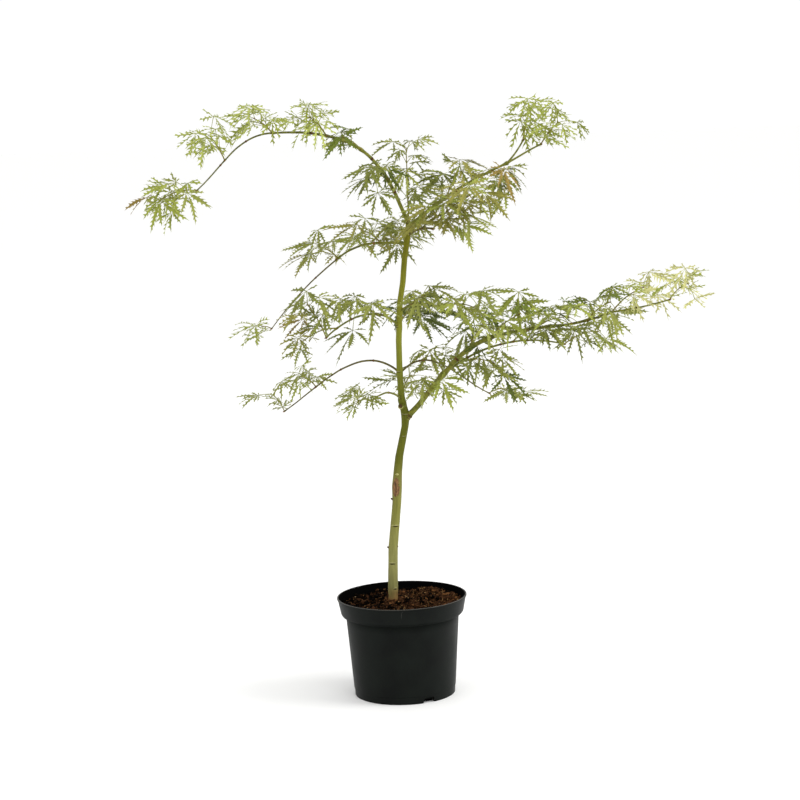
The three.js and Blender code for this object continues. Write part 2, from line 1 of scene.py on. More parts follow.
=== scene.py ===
# Young laceleaf Japanese maple in a nursery pot: the looks of the part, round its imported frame.
# The plant's sizes are in millimetres, as in the part's source; pieces are made in metres.
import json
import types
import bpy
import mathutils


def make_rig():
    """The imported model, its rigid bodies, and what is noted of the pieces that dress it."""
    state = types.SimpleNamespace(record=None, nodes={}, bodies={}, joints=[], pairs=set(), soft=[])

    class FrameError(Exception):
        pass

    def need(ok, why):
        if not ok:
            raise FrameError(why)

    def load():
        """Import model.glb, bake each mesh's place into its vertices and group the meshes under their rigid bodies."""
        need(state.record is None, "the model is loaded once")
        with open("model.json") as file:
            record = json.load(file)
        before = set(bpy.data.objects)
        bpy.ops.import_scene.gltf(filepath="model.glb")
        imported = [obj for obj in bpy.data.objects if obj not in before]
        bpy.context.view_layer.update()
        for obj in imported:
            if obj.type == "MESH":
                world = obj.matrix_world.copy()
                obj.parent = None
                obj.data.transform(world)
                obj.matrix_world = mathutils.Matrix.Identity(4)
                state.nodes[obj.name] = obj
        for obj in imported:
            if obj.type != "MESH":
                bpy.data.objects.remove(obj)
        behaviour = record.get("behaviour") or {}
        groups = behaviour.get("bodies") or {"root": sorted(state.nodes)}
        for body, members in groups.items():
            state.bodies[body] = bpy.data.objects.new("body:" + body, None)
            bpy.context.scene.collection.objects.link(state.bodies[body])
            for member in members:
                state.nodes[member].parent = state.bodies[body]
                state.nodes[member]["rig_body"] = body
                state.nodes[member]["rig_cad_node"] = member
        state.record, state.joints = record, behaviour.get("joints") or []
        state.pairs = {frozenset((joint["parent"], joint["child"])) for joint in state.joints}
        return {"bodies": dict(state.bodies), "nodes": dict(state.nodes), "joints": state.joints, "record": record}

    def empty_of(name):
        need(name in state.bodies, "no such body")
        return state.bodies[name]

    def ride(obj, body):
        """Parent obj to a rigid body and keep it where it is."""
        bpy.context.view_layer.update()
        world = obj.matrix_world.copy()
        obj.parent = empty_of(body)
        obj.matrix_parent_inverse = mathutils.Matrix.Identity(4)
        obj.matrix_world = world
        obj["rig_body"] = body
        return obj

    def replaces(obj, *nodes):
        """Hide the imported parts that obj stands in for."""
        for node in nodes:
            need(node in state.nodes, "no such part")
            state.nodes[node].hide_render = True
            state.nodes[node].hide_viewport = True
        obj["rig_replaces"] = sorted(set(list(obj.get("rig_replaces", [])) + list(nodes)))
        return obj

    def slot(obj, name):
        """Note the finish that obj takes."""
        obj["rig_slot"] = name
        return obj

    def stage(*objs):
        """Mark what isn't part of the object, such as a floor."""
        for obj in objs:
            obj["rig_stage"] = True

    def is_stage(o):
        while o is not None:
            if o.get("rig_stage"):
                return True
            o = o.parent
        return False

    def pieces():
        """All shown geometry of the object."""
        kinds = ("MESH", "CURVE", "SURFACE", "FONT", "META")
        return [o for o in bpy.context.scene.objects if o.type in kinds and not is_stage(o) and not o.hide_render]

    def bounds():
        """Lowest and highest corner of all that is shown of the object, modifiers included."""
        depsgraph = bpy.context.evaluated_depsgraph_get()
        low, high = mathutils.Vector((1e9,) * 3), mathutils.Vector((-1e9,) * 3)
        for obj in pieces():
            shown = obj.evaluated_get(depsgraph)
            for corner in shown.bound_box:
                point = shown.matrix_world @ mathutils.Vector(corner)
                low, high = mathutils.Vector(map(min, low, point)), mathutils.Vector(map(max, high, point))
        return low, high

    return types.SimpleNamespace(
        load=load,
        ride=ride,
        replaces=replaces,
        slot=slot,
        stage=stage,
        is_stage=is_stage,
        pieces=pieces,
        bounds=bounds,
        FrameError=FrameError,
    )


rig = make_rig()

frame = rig.load()
cad_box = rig.bounds()

import json
import random
from math import cos, exp, hypot, pi, radians, sin, sqrt

import bpy
import numpy as np
from mathutils import Matrix, Vector, noise

# ---- Pot -------------------------------------------------------------------------------------
# Injection-moulded black polypropylene, one wall throughout: a tapering body with a wide band
# under the rim, a small step low down, and a foot ring with three drain slots cut through it.

MM = 0.001  # metres in a millimetre


def linear(code):
    """Linear RGBA of an sRGB colour such as "1f2220"."""
    parts = [int(code[i : i + 2], 16) / 255 for i in (0, 2, 4)]
    return tuple(c / 12.92 if c <= 0.04045 else ((c + 0.055) / 1.055) ** 2.4 for c in parts) + (1,)


def feed(tree, node, links):
    """Feeds a node's inputs from outputs of other nodes; a node stands for its first output."""
    for key, source in links.items():
        output = source if isinstance(source, bpy.types.NodeSocket) else source.outputs[0]
        tree.links.new(output, node.inputs[key])


def add(tree, kind, values=None, links=None):
    """A node with its settings and input values, fed by other nodes; a value in text is a colour."""
    node = tree.nodes.new("ShaderNode" + kind)
    for key, value in (values or {}).items():
        if key == "stops":
            ramp = node.color_ramp
            while len(ramp.elements) < len(value):
                ramp.elements.new(0.5)
            for element, (place, colour) in zip(ramp.elements, value):
                element.position = place
                element.color = linear(colour) if isinstance(colour, str) else colour
        elif isinstance(key, str) and hasattr(node, key):
            setattr(node, key, value)
        else:
            node.inputs[key].default_value = linear(value) if isinstance(value, str) else value
    feed(tree, node, links or {})
    return node


def material(name, roughness=0.5, specular=0.5, colour=None, **values):
    """A material with one Principled shader: (material, its tree, the shader, object coordinates)."""
    made = bpy.data.materials.new(name)
    made.use_nodes = True
    tree = made.node_tree
    tree.nodes.clear()
    values.update({"Roughness": roughness, "Specular IOR Level": specular})
    if colour:
        values["Base Color"] = colour
    shader = add(tree, "BsdfPrincipled", values)
    add(tree, "OutputMaterial", links={"Surface": shader})
    place = add(tree, "TexCoord").outputs["Object"]
    return made, tree, shader, place


link = bpy.context.scene.collection.objects.link


def piece(name, points, faces, finish, slot, nodes=(), smooth=True):
    """A mesh piece of the plant from points in millimetres, riding on the root body."""
    mesh = bpy.data.meshes.new(name)
    mesh.from_pydata(np.asarray(points, float) * MM, [], faces)
    mesh.update()
    mesh.polygons.foreach_set("use_smooth", [smooth] * len(mesh.polygons))
    mesh.materials.append(finish)
    made = bpy.data.objects.new(name, mesh)
    link(made)
    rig.ride(made, "root")
    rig.slot(made, slot)
    if nodes:
        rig.replaces(made, *nodes)
    return made


def rounded(corners, steps=4):
    """A profile whose corners (r, z, radius) are turned into arcs."""
    points = []
    for i, (r, z, radius) in enumerate(corners):
        here = Vector((r, z))
        before = Vector(corners[i - 1][:2]) - here if i else Vector()
        after = Vector(corners[i + 1][:2]) - here if i + 1 < len(corners) else Vector()
        if radius == 0 or not before.length or not after.length:
            points.append(here)
            continue
        reach = min(radius, before.length / 2, after.length / 2)
        a, b = here + before.normalized() * reach, here + after.normalized() * reach
        for k in range(steps + 1):
            t = k / steps
            points.append(a * (1 - t) ** 2 + here * (2 * t * (1 - t)) + b * t * t)
    return points


def polar(r, turn):
    """X and Y at a distance from the axis and a turn from +X, in radians."""
    return r * cos(turn), r * sin(turn)


def lathe(profile, sectors):
    """Points and faces of a profile that starts and ends on the axis, turned about +Z."""
    points = [(0, 0, profile[0].y), (0, 0, profile[-1].y)]
    inner = profile[1:-1]
    for k in range(sectors):
        turn = 2 * pi * k / sectors
        points += [(*polar(p.x, turn), p.y) for p in inner]
    faces = []
    count = len(inner)
    for k in range(sectors):
        a, b = 2 + k * count, 2 + (k + 1) % sectors * count
        faces.append((0, b, a))
        faces.append((1, a + count - 1, b + count - 1))
        faces += [(a + i, b + i, b + i + 1, a + i + 1) for i in range(count - 1)]
    return points, faces


pot_height, rim_radius, band_height = 146, 95.2, 25.5
band_foot_radius, body_top_radius, base_radius = 90, 83, 74.3
wall, lip, chamfer, draft = 1.5, 2.4, 2, 2
foot_inside, disc_radius, channel = base_radius - 8, 44, 7
step_height, step_depth = 10.5, 0.6
band_foot = pot_height - band_height
inner_foot, inner_disc = foot_inside - wall, disc_radius + wall
pot_profile = rounded([  # radius, height and how round the corner is
    (0, 0, 0), (disc_radius, 0, 0.6), (disc_radius + draft, channel, 0.6),
    (foot_inside - draft, channel, 0.6), (foot_inside, 0, 0.6), (base_radius - step_depth, 0, 0.9),
    (base_radius, step_height, 0.3), (base_radius + step_depth, step_height + 0.4, 0.3),
    (body_top_radius, band_foot - chamfer, 1.2), (band_foot_radius - chamfer, band_foot - 1, 1),
    (band_foot_radius, band_foot + chamfer, 1), (rim_radius - 1, pot_height - lip, 0.5),
    (rim_radius, pot_height - lip + 0.5, 0.4), (rim_radius, pot_height, 0.7),
    (rim_radius - lip, pot_height, 0.7), (band_foot_radius - wall, band_foot + 3, 1),
    (body_top_radius - wall, band_foot, 1), (base_radius - wall, wall, 0.6), (foot_inside + wall, wall, 0.4),
    (inner_foot, channel + wall, 0.6), (inner_disc, channel + wall, 0.6), (disc_radius - wall, wall, 0.6),
    (0, wall, 0),
])

sheen_values = {"Sheen Weight": 0.08, "Sheen Roughness": 0.35}
plastic, tree, shader, place = material("black_polypropylene_matte", IOR=1.49, **sheen_values)
# a dusty film in patches of about 40 mm over a fine moulded grain of about 0.5 mm; what faces up is paler,
# partly dust and partly painted highlight; painted shade as less reflection below the band and on what faces down
film = add(tree, "TexNoise", {"Scale": 25, "Detail": 4}, {"Vector": place})
grain = add(tree, "TexNoise", {"Scale": 2000, "Detail": 2}, {"Vector": place})
film_colour = add(tree, "ValToRGB", {"stops": [(0.35, "090c0a"), (0.7, "111512")]}, {"Fac": film})
rougher = {"From Min": 0.3, "From Max": 0.7, "To Min": 0.45, "To Max": 0.62}
film_rough = add(tree, "MapRange", rougher, {"Value": film})
facing = add(tree, "NewGeometry").outputs["Normal"]
upward = add(tree, "SeparateXYZ", links={"Vector": facing}).outputs["Z"]
dust_and_painted_highlight = add(tree, "MapRange", {"From Min": 0.15, "From Max": 0.7, "To Max": 0.3}, {"Value": upward})
film_dust_and_highlight = add(tree, "Mix", {"data_type": "RGBA", 7: "6b665e"}, {0: dust_and_painted_highlight, 6: film_colour})
level = add(tree, "SeparateXYZ", links={"Vector": place}).outputs["Z"]
# painted shade: the specular level is least just under the band and nothing on what faces down; the band reflects a
# little more
body_gloss, painted_shade_gloss, band_extra, painted_shade_depth = 0.085, 0.02, 0.085, 14
near, far = (band_foot - 1) * MM, (band_foot - painted_shade_depth) * MM
painted_shade_range = {"From Min": far, "From Max": near, "To Min": body_gloss, "To Max": painted_shade_gloss}
gloss_under_band_painted_shade = add(tree, "MapRange", painted_shade_range, {"Value": level})
on_band = add(tree, "Math", {"operation": "GREATER_THAN", 1: (band_foot - 0.5) * MM}, {0: level})
gloss = add(tree, "Math", {"operation": "MULTIPLY_ADD", 1: band_extra}, {0: on_band, 2: gloss_under_band_painted_shade})
specular_with_painted_shade = add(tree, "MapRange", {"From Min": -0.7, "From Max": -0.1}, {"Value": upward, "To Max": gloss})
bump = add(tree, "Bump", {"Strength": 0.25, "Distance": 0.0002}, {"Height": grain})
feed(tree, shader, {"Base Color": film_dust_and_highlight.outputs[2], "Roughness": film_rough, "Normal": bump})
feed(tree, shader, {"Specular IOR Level": specular_with_painted_shade})  # differs from place to place

pot = piece("pot_shell", *lathe(pot_profile, 128), plastic, "pot", ["pot"])
# inside, underneath and in the slots the plastic is near black and reflects almost nothing: painted shade
painted_shade_plastic, *_ = material("black_polypropylene_painted_shade", 0.8, 0.01, "050505")
pot.data.materials.append(painted_shade_plastic)

# drain slots: wedges, narrower at the top, cut through the foot ring, and behind each slot a web against the inside
# of the ring, in the near-black plastic, a dark sheet that stands in for the shade seen through the slot
slot_count, slot_bearing, slot_width, slot_top, slot_height = 3, -62, 20, 15, 8
cut_from, cut_to = foot_inside - 1, base_radius + 5
web_radius, web_long, web_thick, web_foot = foot_inside - draft, 32, 1.5, 0.3
box = [(3, 2, 1, 0), (4, 5, 6, 7)] + [(i, (i + 1) % 4, (i + 1) % 4 + 4, i + 4) for i in range(4)]
cutters, web_points, web_faces = [], [], []
for k in range(slot_count):
    turn = Matrix.Rotation(radians(slot_bearing + 360 / slot_count * k), 3, "Z")
    low, high = slot_width / 2, slot_top / 2
    section = [(-low, -1), (low, -1), (high, slot_height), (-high, slot_height)]
    corners = [turn @ Vector((r, y, z)) * MM for r in (cut_from, cut_to) for y, z in section]
    wedge = bpy.data.meshes.new("wedge")
    wedge.from_pydata(corners, [], box)
    cutter = bpy.data.objects.new("wedge", wedge)
    link(cutter)
    cut = pot.modifiers.new("slot", "BOOLEAN")
    cut.object, cut.operation, cut.solver = cutter, "DIFFERENCE", "EXACT"
    cutters.append(cutter)
    end = web_long / 2
    section = [(-end, web_foot), (end, web_foot), (end, channel), (-end, channel)]
    web_points += [turn @ Vector((r, y, z)) for r in (web_radius - web_thick, web_radius) for y, z in section]
    web_faces += [[8 * k + i for i in side] for side in box]
cut_mesh = bpy.data.meshes.new_from_object(pot.evaluated_get(bpy.context.evaluated_depsgraph_get()))
pot.modifiers.clear()
pot.data = cut_mesh
for cutter in cutters:
    bpy.data.objects.remove(cutter)
pot.data.set_sharp_from_angle(angle=radians(50))
# inward faces, and downward faces low in the foot, take the near-black plastic: painted shade
for side in pot.data.polygons:
    inward = -side.normal.x * side.center.x - side.normal.y * side.center.y
    if inward > 0.25 * side.center.xy.length or side.center.z < slot_height * MM and side.normal.z < -0.5:
        side.material_index = 1
piece("pot_slot_shade_webs", web_points, web_faces, painted_shade_plastic, "pot", smooth=False)

# flash left by the mould's seam, down the front of the band
seam_bearing, seam_long, seam_wide, seam_proud = radians(-90), 13, 0.5, 0.3
seam_points, seam_faces = [], []
for k in range(9):
    share = k / 8
    z = pot_height - lip - seam_long * share
    across = (z - band_foot - chamfer) / (pot_height - lip - band_foot - chamfer)
    r = band_foot_radius + across * (rim_radius - 1 - band_foot_radius) - 0.1
    swell = sin(pi * min(1, 0.12 + share)) ** 0.5
    for side, out in ((-0.5, 0), (0, seam_proud * swell), (0.5, 0)):
        turn = seam_bearing + (side * seam_wide - 1.6 * sin(2 * share)) / r
        seam_points.append((*polar(r + out, turn), z))
    if k:
        low, high = 3 * k, 3 * k - 3
        seam_faces += [(low, low + 1, high + 1, high), (low + 1, low + 2, high + 2, high + 1)]
flash, *_ = material("moulding_flash_grey", 0.5, 0.1, "454642")
piece("pot_mould_seam", seam_points, seam_faces, flash, "pot")

# ---- Compost ---------------------------------------------------------------------------------
# Moist peat and bark compost, filled to 9 mm under the rim: a lumpy, crumbly bed that rises a
# little at the trunk, strewn with crumbs, bark chips and fibres.

compost_level, compost_radius = 137, 90.3
trunk_foot, collar_height, collar_width = Vector((-13, 3)), 7.5, 13
lump_height, lump_size, crumb_height, crumb_size = 5.2, 15, 2, 3.6
swells = [(7, 44, 34, 28, 36), (-3, -62, 20, 26, 40)]  # mound and hollow: height, middle, half widths
edge_from, edge_share, edge_drop = 0.86, 0.14, 3  # how the bed sinks towards the pot's wall


def bed(x, y):
    """Height of the compost at a place, in millimetres."""
    near = hypot(x - trunk_foot.x, y - trunk_foot.y)
    lumps = lump_height * noise.fractal(Vector((x / lump_size, y / lump_size, 3.1)), 0.8, 2.1, 4)
    crumble = crumb_height * noise.fractal(Vector((x / crumb_size, y / crumb_size, 8.7)), 0.7, 2.2, 3)
    edge = max(0, hypot(x, y) / compost_radius - edge_from) / edge_share
    height = compost_level - 2 + lumps + crumble + collar_height * exp(-((near / collar_width) ** 2))
    for swell, x0, y0, wide, deep in swells:
        height += swell * exp(-(((x - x0) / wide) ** 2) - ((y - y0) / deep) ** 2)
    return height - edge_drop * edge**2


def between_rows(low, high, count, closed=True):
    """Faces between two rows of so many points, which start at low and at high."""
    rows = [(k, (k + 1) % count) for k in range(count if closed else count - 1)]
    return [(low + k, low + after, high + after, high + k) for k, after in rows]


bed_points, bed_rings, bed_sectors = [(0, 0, bed(0, 0))], 56, 168
for ring in range(1, bed_rings + 1):
    for k in range(bed_sectors):
        x, y = polar(compost_radius * ring / bed_rings, 2 * pi * k / bed_sectors)
        bed_points.append((x, y, bed(x, y)))
bed_faces = [(0, 1 + k, 1 + (k + 1) % bed_sectors) for k in range(bed_sectors)]
for ring in range(1, bed_rings):
    outer = 1 + ring * bed_sectors
    strip = between_rows(outer - bed_sectors, outer, bed_sectors)
    bed_faces += [(a, d, c, b) for a, b, c, d in strip]

peat, tree, shader, place = material("peat_compost_moist", 0.9, 0.02)
# clods of about 6 mm over crumbs of about 1 mm, paler to the right
clods = add(tree, "TexNoise", {"Scale": 160, "Detail": 6, "Roughness": 0.7}, {"Vector": place})
rightward = add(tree, "SeparateXYZ", links={"Vector": place}).outputs["X"]
paleness_to_right = add(tree, "Math", {"operation": "MULTIPLY_ADD", 1: 0.8}, {0: rightward, 2: clods})
crumbs = add(tree, "TexVoronoi", {"Scale": 900}, {"Vector": place})
peat_stops = [(0.4, "070402"), (0.52, "24150b"), (0.62, "442c18"), (0.76, "694a2b")]
peat_colour = add(tree, "ValToRGB", {"stops": peat_stops}, {"Fac": paleness_to_right})
bump = add(tree, "Bump", {"Strength": 0.8, "Distance": 0.001}, {"Height": crumbs})
feed(tree, shader, {"Base Color": peat_colour, "Normal": bump})
piece("compost_bed", bed_points, bed_faces, peat, "compost", ["compost"])


def plain(name, code, roughness, specular=0.12):
    """A material for many small joined things: one base colour with a faint mottle of 3 mm."""
    made, tree, shader, place = material(name, roughness, specular)
    base = linear(code)
    mottle = add(tree, "TexNoise", {"Scale": 330, "Detail": 3}, {"Vector": place})
    dark, light = [tuple(min(1, c * gain) for c in base[:3]) + (1,) for gain in (0.82, 1.18)]
    tint = add(tree, "ValToRGB", {"stops": [(0.35, dark), (0.65, light)]}, {"Fac": mottle})
    feed(tree, shader, {"Base Color": tint})
    return made


# each crumb is a twenty-sided lump
golden = (1 + sqrt(5)) / 2
ico_points = [Vector(p).normalized() for p in (
    (-1, golden, 0), (1, golden, 0), (-1, -golden, 0), (1, -golden, 0),
    (0, -1, golden), (0, 1, golden), (0, -1, -golden), (0, 1, -golden),
    (golden, 0, -1), (golden, 0, 1), (-golden, 0, -1), (-golden, 0, 1),
)]
ico_faces = [
    (i, j, k)
    for i in range(12)
    for j in range(12)
    for k in range(12)
    if i < j and i < k and j != k
    and max((ico_points[a] - ico_points[b]).length for a, b in ((i, j), (j, k), (k, i))) < 1.1
    and (ico_points[j] - ico_points[i]).cross(ico_points[k] - ico_points[i]).dot(ico_points[i]) > 0
]
strewn_radius, trunk_gap = 88, 9
banked_from, banked_to = 7.8, 12


def scatter(dice, lean=0):
    """A random place on the compost, clear of the trunk, oftener to the right as lean goes to 1."""
    while True:
        r, turn = strewn_radius * sqrt(dice.random()), dice.uniform(0, 2 * pi)
        spot = Vector(polar(r, turn))
        chance = 0.5 + lean * spot.x / (2 * strewn_radius)
        if (spot - trunk_foot).length > trunk_gap and dice.random() < chance:
            return spot


def beside_trunk(dice):
    """A random place on the compost that is banked up against the trunk."""
    out, turn = dice.uniform(banked_from, banked_to), dice.uniform(0, 2 * pi)
    return trunk_foot + Vector(polar(out, turn))


def lump_heap(dice, count, smallest, largest, flat, lean, banked):
    """Points and faces of many crumbs or chips that lie on the compost, some banked at the trunk."""
    points, faces = [], []
    for i in range(count + banked):
        spot = scatter(dice, lean) if i < count else beside_trunk(dice)
        size = smallest * (largest / smallest) ** (dice.random() ** 1.6) / 2
        shape = Vector((dice.uniform(0.7, 1.6), dice.uniform(0.6, 1.1), flat * dice.uniform(0.7, 1.2))) * size
        turn = Matrix.Rotation(dice.uniform(0, 2 * pi), 3, "Z")
        for axis in "XY":
            turn = turn @ Matrix.Rotation(dice.gauss(0, 0.35), 3, axis)
        middle = Vector((spot.x, spot.y, bed(*spot) + 0.4 * shape.z))
        faces += [tuple(len(points) + i for i in face) for face in ico_faces]
        for p in ico_points:
            uneven = 1 + dice.uniform(-0.3, 0.3)
            points.append(middle + turn @ Vector((p.x * shape.x, p.y * shape.y, p.z * shape.z)) * uneven)
    return points, faces


dice = random.Random(4)
heaps = [  # name, colour, count, smallest, largest, flatness, lean to the right, how many at the trunk
    ("crumbs_dark", "080402", 1050, 1.2, 7, 0.9, -0.9, 20),
    ("crumbs_brown", "3b2516", 800, 1.2, 7, 0.9, 0.6, 60),
    ("chips_russet", "5f3f24", 260, 1.5, 7.5, 0.35, 0.9, 45),
    ("chips_tan", "8f6f4a", 90, 1.2, 6, 0.3, 0.7, 30),
    ("grit_pale", "a9977a", 18, 0.8, 2, 0.8, 0.3, 1),
]
for name, code, *how in heaps:
    heap = lump_heap(dice, *how)
    piece("compost_" + name, *heap, plain("compost_" + name, code, 0.9, 0.02), "compost", smooth=False)


def tube(stations, sides):
    """Points and faces of a tube with closed ends through stations (place, radius)."""
    places = [Vector(at) for at, _ in stations]
    points, faces, across = [], [], None
    last = len(places) - 1
    for i, (at, (_, r)) in enumerate(zip(places, stations)):
        ahead = (places[min(i + 1, last)] - places[max(i - 1, 0)]).normalized()
        if across is None:
            across = Vector((1, 0, 0)) if abs(ahead.z) > 0.9 else Vector((0, 0, 1))
        across = (across - ahead * across.dot(ahead)).normalized()
        other = ahead.cross(across)
        for k in range(sides):
            x, y = polar(r, 2 * pi * k / sides)
            points.append(at + across * x + other * y)
        if i:
            faces += between_rows((i - 1) * sides, i * sides, sides)
    faces.append(tuple(range(sides))[::-1])
    faces.append(tuple(last * sides + k for k in range(sides)))
    return points, faces


class Heap:
    """Points and faces of many small things, joined as they are made."""

    def __init__(self):
        self.points, self.faces = [], []

    def add(self, points, faces):
        base = len(self.points)
        self.points += [tuple(p) for p in points]
        self.faces += [tuple(base + i for i in face) for face in faces]

    def __iter__(self):
        return iter((self.points, self.faces))


fibre_joints, fibre_reach, fibre_gap = 6, 89, 8
for name, code, count in (("fibres_brown", "4a2d17", 330), ("fibres_tan", "8c6c45", 130)):
    strands = Heap()
    for _ in range(count):
        at = scatter(dice)
        bearing = dice.uniform(0, 2 * pi)
        thick = dice.uniform(0.18, 0.45)
        stations = []
        for k in range(fibre_joints):
            bearing += dice.gauss(0, 0.35)
            at = at + Vector(polar(1, bearing)) * dice.uniform(1, 2.8)
            if at.length > fibre_reach or (at - trunk_foot).length < fibre_gap:
                break
            stations.append(((at.x, at.y, bed(*at) + dice.uniform(0.1, 1.4)), thick * (1 - 0.1 * k)))
        if len(stations) > 1:
            strands.add(*tube(stations, 4))
    piece("compost_" + name, *strands, plain("compost_" + name, code, 0.8, 0.05), "compost")

# ---- Trunk -----------------------------------------------------------------------------------
# A straight stock of grey-green bark, budded at 309 mm: a dry brown scar, then the smooth
# yellow-green stem of the laceleaf, swollen where boughs leave it. Old buds left ridges.

trunk = np.array([  # height, centre beside the pot's axis, radius
    (137, -13, 3, 8.6), (146, -12.7, 3, 7.5), (170, -12, 2.6, 7.2), (217, -10, 2, 7), (285, -2, 1, 6.5),
    (309, -1, 0.5, 7.4), (330, 1, 0.5, 6.4), (353, 4, 0, 5.9), (397, 14, 0, 5.3), (413, 15.5, 0, 6.2),
    (436, 10.5, 0, 5), (478, 9, 0, 4.4), (523, 9.5, 0, 4.3), (577, 13, 0, 4.2), (607, 18.5, 0, 4.2),
    (640, 22, 0, 4.1), (673, 28, 0, 4), (692, 30, 0, 3.9),
])


def trunk_at(height):
    """Centre of the trunk at a height."""
    x, y = (np.interp(height, trunk[:, 0], trunk[:, i]) for i in (1, 2))
    return np.array([x, y, height])


def trunk_radius(height):
    return float(np.interp(height, trunk[:, 0], trunk[:, 3]))


# old bud scars: height, turn, half width in degrees; then joints of the stem: height, swelling
scars = [(252, 6, 70), (196, -14, 62), (158, 25, 30), (262, 150, 60), (205, 165, 60)]
joints = [(413, 0.5), (433.5, 0.9), (476, 0.35), (541, 0.4), (564, 0.3), (662, 0.4), (674, 0.4), (690, 0.5)]
graft_foot, graft_top = 296, 323
swell_width, scar_proud, ridge_width, fold_width = 4.5, 0.6, 1.3, 0.8
stock_rough, stem_rough, coarse_bark, fine_bark = 1, 0.45, 0.28, 0.1


def trunk_skin(height, turn):
    """Radius of the bark at a height and a turn from the front, in degrees."""
    r = trunk_radius(height)
    for z, swell in joints:
        r += swell * exp(-(((height - z) / swell_width) ** 2))
    for z, bearing, half in scars:
        aside = abs((turn - bearing + 180) % 360 - 180) / half
        if aside < 1:
            rise = height - z
            ridge = exp(-((rise / ridge_width) ** 2)) - 1.1 * exp(-(((rise + 2) / fold_width) ** 2))
            r += scar_proud * ridge * (1 - aside**2)
    across = radians(turn)
    at = Vector((cos(across) * 2.2, sin(across) * 2.2, height / 26))
    fine = Vector((cos(across) * 9, sin(across) * 9, height / 9))
    rough = stock_rough if height < graft_foot else stem_rough
    return r + rough * (coarse_bark * noise.noise(at) + fine_bark * noise.noise(fine))


def on_bark(height, turn, proud):
    """X and Y of a point that stands proud of the bark at a height and a turn."""
    x, y = polar(trunk_skin(height, turn) + proud, radians(turn - 90))
    centre = trunk_at(height)
    return centre[0] + x, centre[1] + y


tuck, tuck_height = 1.5, 15  # how much the foot draws in under the heaped compost, and from where
trunk_points, trunk_faces = [], []
trunk_sides, trunk_step = 32, 1.5
foot, foot_depth = trunk[0, 0], 6  # depth of the bark below the compost's surface
for i, z in enumerate(np.arange(foot - foot_depth, trunk[-1, 0], trunk_step)):
    above = max(z, foot)
    drawn_in = tuck * max(0, 1 - (above - foot) / tuck_height)
    for k in range(trunk_sides):
        trunk_points.append((*on_bark(above, 360 * k / trunk_sides, -drawn_in), z))
    if i:
        trunk_faces += between_rows((i - 1) * trunk_sides, i * trunk_sides, trunk_sides)
trunk_faces.append(tuple(range(trunk_sides))[::-1])
trunk_faces.append(tuple(len(trunk_points) - trunk_sides + k for k in range(trunk_sides)))

bark, tree, shader, place = material("maple_bark_stem", 0.5, 0.09)
# tan at the foot, grey-green on the stock, yellow-green above the graft; the height in metres
# is moved about by patches of 12 mm, and streaks 3 mm wide run up the stem
height = add(tree, "SeparateXYZ", links={"Vector": place}).outputs["Z"]
patches = add(tree, "TexNoise", {"Scale": 80, "Detail": 4}, {"Vector": place})
shifted = add(tree, "Math", {"operation": "MULTIPLY_ADD", 1: 0.03}, {0: patches, 2: height})
share = add(tree, "MapRange", {"From Min": 0.145, "From Max": 0.715}, {"Value": shifted})
bark_stops = [
    (0.02, "7d6038"), (0.055, "7f7c4a"), (0.11, "86844e"), (0.25, "787738"), (0.33, "747138"),
    (0.38, "595b19"), (0.51, "575a17"), (0.61, "6f7226"), (0.69, "7f812c"), (0.82, "797922"),
    (0.93, "6c6a18"),
]
up_stem = add(tree, "ValToRGB", {"stops": bark_stops}, {"Fac": share})
stretch = add(tree, "Mapping", {"Scale": (1, 1, 0.08)}, {"Vector": place})
streaks = add(tree, "TexNoise", {"Scale": 420, "Detail": 5, "Roughness": 0.65}, {"Vector": stretch})
tones = {"From Min": 0.3, "From Max": 0.7, "To Min": 0.78, "To Max": 1.2}
streak_tone = add(tree, "MapRange", tones, {"Value": streaks})
toned = add(tree, "VectorMath", {"operation": "SCALE"}, {0: up_stem, "Scale": streak_tone})
# pores of about 1 mm across the whole stem
pores = add(tree, "TexVoronoi", {"Scale": 500}, {"Vector": place})
relief = add(tree, "Math", {"operation": "ADD"}, {0: streaks, 1: pores})
bump = add(tree, "Bump", {"Strength": 0.35, "Distance": 0.0006}, {"Height": relief})
feed(tree, shader, {"Base Color": toned, "Normal": bump})
piece("trunk_bark", trunk_points, trunk_faces, bark, "bark", ["trunk"])

# the graft's scar: a lens of dry brown bark on the front, proud of the stem
graft_bearing, graft_half = -13, 50
scar_points, scar_faces = [], []
scar_rows, scar_columns = 36, 20
for i in range(scar_rows + 1):
    rise = i / scar_rows
    z = graft_foot - 3 + (graft_top - graft_foot + 4) * rise
    wide = graft_half * sin(pi * min(1, 0.08 + 0.92 * rise)) ** 0.6
    for k in range(scar_columns + 1):
        side = 2 * k / scar_columns - 1
        crag = 0.7 * noise.fractal(Vector((side * 2.4, rise * 7, 5.5)), 0.8, 2.2, 3)
        proud = (0.75 + crag) * (1 - side**2) ** 0.5 * sin(pi * rise) ** 0.5 - 0.25
        scar_points.append((*on_bark(z, graft_bearing + side * wide, proud), z))
    if i:
        row = scar_columns + 1
        scar_faces += between_rows((i - 1) * row, i * row, row, closed=False)
dry, tree, shader, place = material("graft_scar_dry_bark", 0.8, 0.25)
# cracks about 2 mm apart, longer than they are wide
stretch = add(tree, "Mapping", {"Scale": (1, 1, 0.3)}, {"Vector": place})
cracks = add(tree, "TexNoise", {"Scale": 480, "Detail": 6, "Roughness": 0.7}, {"Vector": stretch})
dry_stops = [(0.38, "3f2b1b"), (0.5, "6f4f32"), (0.64, "947049")]
dry_colour = add(tree, "ValToRGB", {"stops": dry_stops}, {"Fac": cracks})
bump = add(tree, "Bump", {"Strength": 0.8, "Distance": 0.001}, {"Height": cracks})
feed(tree, shader, {"Base Color": dry_colour, "Normal": bump})
piece("graft_scar", scar_points, scar_faces, dry, "bark")


